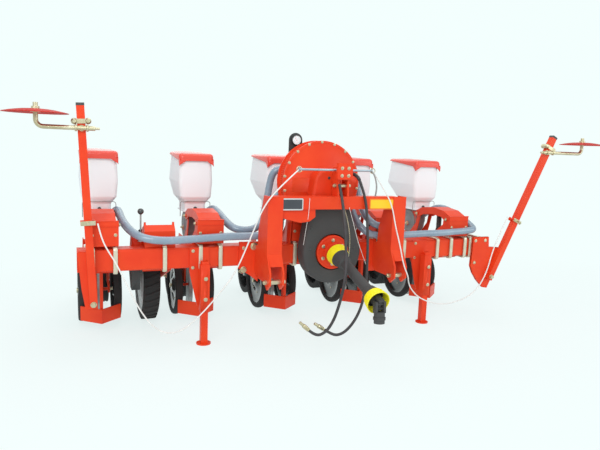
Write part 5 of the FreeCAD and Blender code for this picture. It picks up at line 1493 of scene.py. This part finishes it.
@dataclass
class FrameTrim:
    """Bolts, pins, levers, cords and rings on the headstock, the bar, the stands and the drive unit."""

    def bolts(self) -> None:
        """Bolt heads on forward faces of the frame, in one mesh."""
        spots = [front(-0.332, -0.0144, 0.569, 2.0), front(-0.397, -0.0144, 0.427, 1.7),
                 front(-0.397, -0.0144, 0.56)]
        for x in (-0.648, 0.894):
            spots += [front(x - 0.058, -0.0124, 0.552, 0.85), front(x - 0.058, -0.0124, 0.452, 0.85)]
            spots += [front(x, -0.1022, z) for z in (0.2784, 0.4016)]
        for row in ROWS:
            spots += [front(row_x(row) - 0.062, -0.0002, 0.655, 0.8), front(row_x(row) + 0.062, -0.0002, 0.655, 0.8)]
        spots += [front(x, -0.0332, z) for x, z in ((1.334, 0.56), (1.336, 0.4), (1.42, 0.56))]
        bolted("frame_bolts", spots)
        pins = [(row_x(row), 0.0838, y, z, 1.0) for row in ROWS for y, z in ((0.044, 0.706), (0.168, 0.5))]
        pins += [(0.15, 0.0515, *TOP_PIN, 1.0)] + [(x, 0.0595, *HITCH_PIN, 1.2) for x in (-0.2825, 0.5425)]
        bolted("pin_nuts", [Spot(at(x + sign * half, y, z), RIGHT * sign, size) for x, half, y, z, size in pins
                            for sign in (-1, 1)])
        for row in ROWS:
            body = f"row_{row}_unit"
            ends = [Spot(at(row_x(row) + sign * x, y, z), RIGHT * sign, s) for sign in (-1, 1)
                    for x, y, z, s in ((0.0728, 0.424, 0.706, 1.0), (0.0728, 0.548, 0.5, 1.0),
                                       (0.1018, *PRESS_AXLE, 1.4),
                                       (0.0548, 0.578, 0.608, 1.2))]
            bolted(f"row_{row}_nuts", ends, body, Head.NUT)

    def cross_rod(self) -> None:
        """Collars, end rings and the hanging link of the mast's cross rod."""
        shape = bmesh.new()
        for x in (-0.136, 0.344):
            closed_lathe(shape, at(x, *CROSS_ROD), RIGHT,
                         [(-0.003, 0.0068), (-0.003, 0.012), (0.003, 0.012), (0.003, 0.0068)], 24)
        put(from_bmesh("cross_rod_collars", shape, BLUE_ZINC), "frame")
        ring = bmesh.new()
        for x in (-0.135, 0.352):
            closed_lathe(ring, at(x, *CROSS_ROD), BACK, [(up, 0.016 + out) for out, up in circle(8, 0.0026)], 20)
        put(from_bmesh("rope_rings", ring, ZINC), "frame")
        hanging = [at(0.336, -0.222, 1.052), at(0.352, -0.228, 1.04), at(0.372, -0.232, 0.985),
                   at(0.376, -0.232, 0.93), at(0.37, -0.228, 0.897)]
        wire("hanging_link", hanging, 0.0048, STEEL, "frame")

    def strings(self) -> None:
        """Short white pull cords that hang taut on the headstock."""
        for name, route in (("pull_cord_left", [at(-0.072, -0.237, 0.885), at(-0.074, -0.238, 0.79),
                                                at(-0.07, -0.2, 0.72), at(-0.058, -0.136, 0.59)]),
                            ("pull_cord_right", [at(0.19, -0.237, 0.83), at(0.225, -0.246, 0.72),
                                                 at(0.262, -0.246, 0.6), at(0.34, -0.242, 0.44)])):
            wire(name, route, 0.0014, ROPE, "frame")

    def handle(self) -> None:
        """The drive unit's setting lever with its ball, and its pivot."""
        x = -0.996
        shape = bmesh.new()
        lathe(shape, at(x, 0.06, 0.606), UP, [(0, 0.0175), (0.018, 0.0175), (0.022, 0.009)], 20)
        lathe(shape, at(x, 0.06, 0.622), UP, [(0, 0.0048), (0.145, 0.0048)], 14)
        ball = [(0.0, 0.006)] + [(0.018 - 0.018 * math.cos(a), 0.018 * math.sin(a)) for a in
                                 (math.radians(15 * k) for k in range(2, 12))] + [(0.0358, 0.003)]
        lathe(shape, at(x, 0.06, 0.762), UP, ball, 24, 1)
        put(from_bmesh("setting_lever", shape, STEEL, GLOSS), "frame")
        hub = bmesh.new()
        for sign in (1, -1):
            lathe(hub, at(-0.9 + sign * 0.056, *DRIVE_AXLE), RIGHT * sign,
                  [(0, 0.024), (0.016, 0.024), (0.018, 0.022), (0.0215, 0.022)], 32)
        put(from_bmesh("drive_axle_knob", hub, ZINC), "frame")

    def lips(self) -> None:
        """Lips of the row boxes: a folded edge along each front plate's top."""
        shape = bmesh.new()
        for row in ROWS:
            x0 = row_x(row)
            for y0, y1, z0, z1, half in ((-0.004, 0.012, 0.7305, 0.7345, 0.081), (-0.0035, 0.0, 0.7, 0.7045, 0.079)):
                block(shape, at(x0 - half, y0, z0), at(x0 + half, y1, z1))
        bevelled(shape, 0.0014)
        put(from_bmesh("box_lips", shape, RED), "frame")

    def build(self) -> None:
        """Make the frame's trim."""
        self.bolts()
        self.cross_rod()
        self.strings()
        self.handle()
        self.lips()


@dataclass
class MarkerBrackets:
    """The bar's brackets: thick plates behind the marker arms, and the arms' pins, washers and nuts."""

    arm_back: float = -0.0335
    depth: float = 0.0215
    pins: tuple[Pair, ...] = ((-1.26, 0.285), (1.464, 0.297))
    plates: tuple[tuple[Pair, ...], ...] = (
        ((-1.262, 0.572), (-1.34, 0.572), (-1.32, 0.365), (-1.3, 0.251), (-1.236, 0.241), (-1.24, 0.427)),
        ((1.314, 0.586), (1.454, 0.586), (1.454, 0.509), (1.548, 0.505), (1.55, 0.443), (1.52, 0.357),
         (1.5, 0.267), (1.47, 0.203), (1.428, 0.211), (1.372, 0.267), (1.33, 0.321), (1.304, 0.377),
         (1.312, 0.413)))

    def kept(self, point: Vector) -> Vector | None:
        """A machine point of the brackets, or None in front of a marker arm and behind the left one."""
        return None if abs(point.x) > 1.15 and point.y < (-0.0805 if point.x > 0 else -0.0185) else point

    def build(self, node: Piece) -> None:
        """Make the brackets and the pins.

        Args:
            node: the CAD node of the brackets.
        """
        put(reshaped("arm_brackets", node, self.kept), "frame", "bar_brackets")
        shape = bmesh.new()
        for outline in self.plates:
            prism(shape, [at(x, self.arm_back, z) for x, z in outline], Vector((0, self.depth, 0)))
        bevelled(shape, 0.003)
        put(from_bmesh("arm_plates", shape, RED), "frame")
        shape = bmesh.new()
        for x, z in self.pins:
            lathe(shape, at(x, -0.03, z), FORWARD, [(0, 0.0118), (0.062, 0.0118), (0.064, 0.01)], 20)
            lathe(shape, at(x, -0.0757, z), FORWARD, [(0, 0.0165), (0.0025, 0.0165)], 28)
            lathe(shape, at(x, -0.0782, z), FORWARD, [(0, 0.013), (0.009, 0.013), (0.0105, 0.0118)], 6)
        put(from_bmesh("arm_pins", shape, ZINC), "frame")


@dataclass
class MarkerTrim:
    """One marker's domed disc, clamp knobs, the rod's far end and the arm's dark end cap."""

    side: str
    sign: int
    foot: Pair
    tilt: float
    rod: float
    reach: float
    rim: float
    far: float

    def on_arm(self, across: float, up: float, y: float = -0.055) -> Vector:
        """A point of the leaning arm."""
        lean = math.radians(self.tilt)
        x = self.foot[0] + self.sign * (up * math.sin(lean) + across * math.cos(lean))
        return at(x, y, self.foot[1] + up * math.cos(lean) - across * math.sin(lean))

    def disc(self) -> None:
        """The thin disc, domed upwards."""
        centre = self.on_arm(0.0, self.rod, -0.089) + Vector((self.sign * self.reach, 0, self.rim))
        upper = [(0.004 - 0.018 * (max(r - 0.04, 0.0) / 0.117) ** 1.6, r) for r in
                 (0.0124, 0.04, 0.065, 0.09, 0.115, 0.138, 0.1565)]
        shape = bmesh.new()
        closed_lathe(shape, centre, UP, upper + [(z - 0.0038 + 0.0012 * (r / 0.157), r) for z, r in upper[::-1]], 72)
        disc = f"marker_disc_{self.side}"
        put(from_bmesh(f"marker_dish_{self.side}", shape, SHADED_DISC_RED), disc, disc)

    def build(self) -> None:
        """Make the marker's pieces."""
        self.disc()
        body, out = f"marker_arm_{self.side}", RIGHT * self.sign
        shape = bmesh.new()
        for across in (-0.034, 0.034):
            lathe(shape, self.on_arm(across, self.rod + 0.036, -0.029), FORWARD,
                  [(0, 0.0155), (0.006, 0.0165), (0.046, 0.0165), (0.052, 0.015), (0.058, 0.009)], 24)
        start = self.on_arm(0.0, self.rod, -0.089)
        lathe(shape, start + out * 0.004, -out, [(0, 0.012), (0.07, 0.012), (0.071, 0.0065), (0.092, 0.0065)], 20)
        for step in (-0.034, 0.022):
            lathe(shape, start + out * step, out, [(0, 0.015), (0.002, 0.0178), (0.01, 0.0178), (0.012, 0.015)], 24)
        put(from_bmesh(f"marker_clamp_{self.side}", shape, ZINC), body)
        cap = bmesh.new()
        for low, high, half, number in ((1.0802, self.far, 0.0198, 0), (self.far - 0.014, self.far, 0.0206, 1)):
            if high > low:
                outline = [self.on_arm(a, u, -0.055 - half) for a, u in (
                    (-half, low), (half, low), (half, high), (-half, high))]
                prism(cap, outline, Vector((0, 2 * half, 0)), number)
        put(from_bmesh(f"marker_end_{self.side}", cap, RED, BLACK), body)


MARKERS = (
    MarkerTrim("left", -1, (-1.26, 0.285), 2.9, 0.95, 0.215, 0.082, 1.0806),
    MarkerTrim("right", 1, (1.464, 0.297), 25.5, 1.01, 0.311, 0.082, 1.142),
)


@dataclass
class DriveUnitBody:
    """The drive unit without its plain lever, which is made anew with its ball."""

    lever: Pair = (-0.996, 0.06)
    seam: float = 0.447

    def kept(self, point: Vector) -> Vector | None:
        """A machine point of the drive unit, or None on the lever."""
        on_lever = math.dist(point.xy, self.lever) < 0.0177 and point.z > 0.6205
        return None if on_lever else point

    def build(self, node: Piece) -> None:
        """Make the drive unit's body.

        Args:
            node: the CAD node of the drive unit.
        """
        piece = reshaped("drive_unit_body", node, self.kept)
        shape = bmesh.new()
        shape.from_mesh(piece.data)
        bmesh.ops.bisect_plane(shape, geom=[*shape.verts, *shape.edges, *shape.faces],
                               plane_co=(0, 0, self.seam), plane_no=(0, 0, 1))
        black = piece.data.materials.find(BLACK.name)
        for face in shape.faces:
            place = face.calc_center_median() + ORIGIN
            if place.z < self.seam and place.x < -0.93 and math.dist(place.yz, DRIVE_AXLE) > 0.031:
                face.material_index = black
        shape.to_mesh(piece.data)
        shape.free()
        put(piece, "frame", "drive_unit")


# ---------------------------------------------------------------- stage

@dataclass
class Stage:
    """Pale floor, soft lamps, world light and the camera."""

    position: Point = (-1.3805, -3.2444, 1.1774)
    across: Point = (0.9244, -0.3794, 0.0382)
    upward: Point = (0.0168, 0.1407, 0.9899)
    lens: float = 33.735

    def camera(self) -> None:
        """Put the camera in front of the machine's left half, a little above the hoppers."""
        camera = bpy.data.cameras.new("camera")
        camera.lens = self.lens
        camera.sensor_width = 36.0
        camera.clip_end = 100.0
        holder = placed("camera", camera)
        right = Vector(self.across).normalized()
        up = (Vector(self.upward) - right * Vector(self.upward).dot(right)).normalized()
        turn = Matrix((right, up, right.cross(up))).transposed()
        holder.matrix_world = Matrix.Translation(at(*self.position)) @ turn.to_4x4()
        bpy.context.scene.camera = holder

    def floor(self) -> None:
        """A plain pale floor that shows white to the camera and keeps the machine's shadow."""
        mesh = bpy.data.meshes.new("floor")
        half = 30.0
        mesh.from_pydata([(-half, -half, 0), (half, -half, 0), (half, half, 0), (-half, half, 0)], [],
                         [(0, 1, 2, 3)])
        finish = Finish("floor_pale", (0.86, 0.9, 0.9), (0.85, 0.89, 0.89), patch=0.3,
                        rough=(0.9, 0.95), relief=0.0)
        piece = link("floor", mesh, finish)
        backdrop(piece.data.materials[0], 0.78, (1.1, 2.6))

    def lamps(self) -> None:
        """One broad lamp on each side and one overhead."""
        for name, where, power, size in (("key", (-3.2, -4.6, 3.6), 168.0, 3.5),
                                         ("fill", (4.4, -4.0, 2.6), 70.0, 3.5),
                                         ("top", (0.0, 0.6, 5.4), 88.0, 5.0),
                                         ("back", (0.5, 5.2, 3.6), 45.0, 4.0)):
            lamp = bpy.data.lights.new(name, "AREA")
            lamp.energy = power
            lamp.size = size
            holder = placed(name, lamp)
            holder.location = where
            holder.rotation_euler = (Vector((0, 0, 0.6)) - Vector(where)).to_track_quat("-Z", "Y").to_euler()

    def world(self) -> None:
        """Even pale light all round, with a near-white backdrop."""
        world = bpy.data.worlds.new("studio")
        world.use_nodes = True
        bpy.context.scene.world = world
        tree = world.node_tree
        tree.nodes.clear()
        path = tree.nodes.new("ShaderNodeLightPath").outputs
        seen = path["Is Camera Ray"]
        for name in ("Is Glossy Ray", "Is Transmission Ray"):
            seen = wired(tree, "ShaderNodeMath", {0: seen, 1: path[name]}, operation="MAXIMUM")
        light = wired(tree, "ShaderNodeBackground", {0: (0.95, 0.98, 1.0, 1), 1: 0.58})
        back = wired(tree, "ShaderNodeBackground", {0: (*BACKDROP, 1), 1: 1.0})
        wired(tree, "ShaderNodeOutputWorld", {0: wired(tree, "ShaderNodeMixShader", {0: seen, 1: light, 2: back})})

    def build(self) -> None:
        """Set the whole stage."""
        bpy.context.scene.view_settings.view_transform = "Standard"
        self.camera()
        self.floor()
        self.lamps()
        self.world()


def backdrop(material: bpy.types.Material, near: float, reach: Pair) -> None:
    """Let a floor fade into the backdrop away from the machine, and keep its shadow close to it.

    Args:
        material: the floor's material.
        near: how much backdrop shows beside the machine, from 0 to 1.
        reach: the distances where the fade starts and ends.
    """
    tree = material.node_tree
    output, shader = (next(node for node in tree.nodes if node.type == kind)
                      for kind in ("OUTPUT_MATERIAL", "BSDF_PRINCIPLED"))
    glow = wired(tree, "ShaderNodeEmission", {"Color": (*BACKDROP, 1)})
    path = tree.nodes.new("ShaderNodeLightPath").outputs
    place = wired(tree, "ShaderNodeTexCoord", {}, "Object")
    squeezed = wired(tree, "ShaderNodeMapping", {"Vector": place, "Scale": (0.62, 1.0, 1.0)})
    away = wired(tree, "ShaderNodeVectorMath", {0: squeezed}, "Value", operation="LENGTH")
    fade = wired(tree, "ShaderNodeMapRange", {"Value": away, "From Min": reach[0], "From Max": reach[1],
                                              "To Min": near, "To Max": 1.0})
    seen = GLOW_ON_THE_MACHINE
    for name in ("Is Camera Ray", "Is Glossy Ray", "Is Transmission Ray"):
        seen = wired(tree, "ShaderNodeMath", {0: path[name], 1: seen}, operation="MAXIMUM")
    share = wired(tree, "ShaderNodeMath", {0: seen, 1: fade}, operation="MULTIPLY")
    mix = wired(tree, "ShaderNodeMixShader", {0: share, 1: shader.outputs[0], 2: glow})
    tree.links.new(mix, output.inputs[0])


# ---------------------------------------------------------------- finishes of the CAD nodes

def within(points: Sequence[Vector], radius: float, axis: Pair, plane: str = "yz") -> bool:
    """Whether all points lie inside a cylinder.

    Args:
        points: machine points.
        radius: the cylinder's radius.
        axis: where its axis crosses the plane.
        plane: the names of the plane's two coordinates.

    Returns:
        True if none is outside.
    """
    return all(math.dist([getattr(p, name) for name in plane], axis) < radius for p in points)


@dataclass
class Bodywork:
    """Finishes of the CAD nodes that stay, with zones where one node has several."""

    finishes: dict[str, Finish] = field(default_factory=lambda: {
        "u_bolts": ZINC, "belt_guard": BLACK, "pto_guard": GUARD, "vacuum_gauge": BLACK,
        "pto_shaft": GUARD, "hose_couplings": ZINC, "drive_wheel": RUBBER, "vacuum_hoses": HOSE,
        "hydraulic_hose_left": HYDRAULIC, "hydraulic_hose_right": HYDRAULIC,
        "rope_left": ROPE, "rope_right": ROPE})

    def finish_of(self, node: str) -> Finish:
        """The main finish of a CAD node, by its name."""
        if node in self.finishes:
            return self.finishes[node]
        for part, finish in (("hopper", TANK), ("lid", LID_RED), ("wheel", RUBBER)):
            if part in node:
                return finish
        return RED

    def zone(self, node: str, points: Sequence[Vector]) -> Finish | None:
        """The finish of one face, where it differs from the node's own.

        Args:
            node: the CAD node's name.
            points: the face's corners, as machine points.

        Returns:
            Its finish, or None for the node's own.
        """
        if node.endswith("_chassis"):
            return self.unit_zone(int(node[4]), points)
        if node.startswith("marker_arm"):
            away = max(abs(p.y + 0.055) for p in points)
            return ZINC if min(abs(p.y + 0.055) for p in points) > 0.0199 and away > 0.0202 else None
        if node == "headstock":
            pin = within(points, 0.0143, HITCH_PIN)
            link = within(points, 0.0128, TOP_PIN)
            rod = within(points, 0.0073, CROSS_ROD)
            return BLUE_ZINC if rod else ZINC if pin or link else None
        if node == "drive_pulley":
            return STEEL if within(points, 0.0178, PULLEY, "xz") else None
        if node == "pto_guard":
            start = Vector((PULLEY[0], SHAFT_START, PULLEY[1]))
            along = [(p - start).dot(Driveline().way()) for p in points]
            return YELLOW if max(along) < 0.0585 or min(along) > 0.4895 else None
        if node.startswith("row_") and node.endswith("upper_link"):
            x0 = row_x(int(node[4]))
            rod = within(points, 0.0225, (x0, 0.234), "xy")
            return BLACK if rod and max(p.z for p in points) < 0.75 else None
        if node == "drive_unit":
            lever = all(math.hypot(p.x + 0.996, p.y - 0.06) < 0.0175 and p.z > 0.62 for p in points)
            axle = within(points, 0.0302, DRIVE_AXLE)
            ball = lever and max(p.z for p in points) > 0.757
            plate = max(p.x for p in points) < -0.93 and max(p.z for p in points) < 0.447
            return GLOSS if ball else STEEL if lever else ZINC if axle else BLACK if plate else None
        return None

    def unit_zone(self, row: int, points: Sequence[Vector]) -> Finish | None:
        """The finish of one face of a row unit's chassis."""
        across = [abs(p.x - row_x(row)) for p in points]
        if within(points, 0.0925, METER_AXLE) and max(across) < 0.0435:
            return METER
        if max(across) < 0.0545 and min(p.z for p in points) > 0.627 and min(p.y for p in points) > 0.465 and \
                max(p.y for p in points) < 0.653:
            return METER
        if within(points, 0.0165, GAUGE_AXLE) and max(across) > 0.06:
            return ZINC
        if within(points, 0.0105, PRESS_AXLE):
            return ZINC
        if max(across) < 0.0122 and max(p.z for p in points) < 0.412 and min(p.y for p in points) > 0.5:
            return STEEL
        return None

    def dress(self, name: str, node: Piece) -> None:
        """Give one CAD node its finishes, face by face."""
        finishes = [self.finish_of(name)]
        mesh = node.data
        mesh.materials.clear()
        places = [vertex.co + ORIGIN for vertex in mesh.vertices]
        numbers = []
        for face in mesh.polygons:
            finish = self.zone(name, [places[k] for k in face.vertices]) or finishes[0]
            if finish not in finishes:
                finishes.append(finish)
            numbers.append(finishes.index(finish))
        for finish in finishes:
            mesh.materials.append(finish.make())
        mesh.polygons.foreach_set("material_index", numbers)

    def build(self, nodes: dict[str, Piece]) -> None:
        """Dress every CAD node."""
        for name, node in nodes.items():
            self.dress(name, node)


def main() -> None:
    """Build everything in order and report it."""
    logging.basicConfig(level=logging.INFO, format="%(name)s: %(message)s")
    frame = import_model()
    Stage().build()
    for cord in CORDS:
        cord.build()
        LOG.info("%s", cord.name)
    SuctionHoses().build()
    Bodywork().build(frame["nodes"])
    for row in ROWS:
        for assembly in (Hopper(row), Lid(row), RowTrim(row)):
            assembly.build()
            LOG.info("row %d, %s", row, type(assembly).__name__)
    FanTrim().casing(frame["nodes"]["fan_housing"])
    MarkerBrackets().build(frame["nodes"]["bar_brackets"])
    DriveUnitBody().build(frame["nodes"]["drive_unit"])
    for assembly in (*MARKERS, RunningGear(), UBolts(), BeltGuard(), Driveline(), FanTrim(), FrameTrim()):
        assembly.build()
        LOG.info("%s", type(assembly).__name__)


if __name__ == "__main__":
    main()
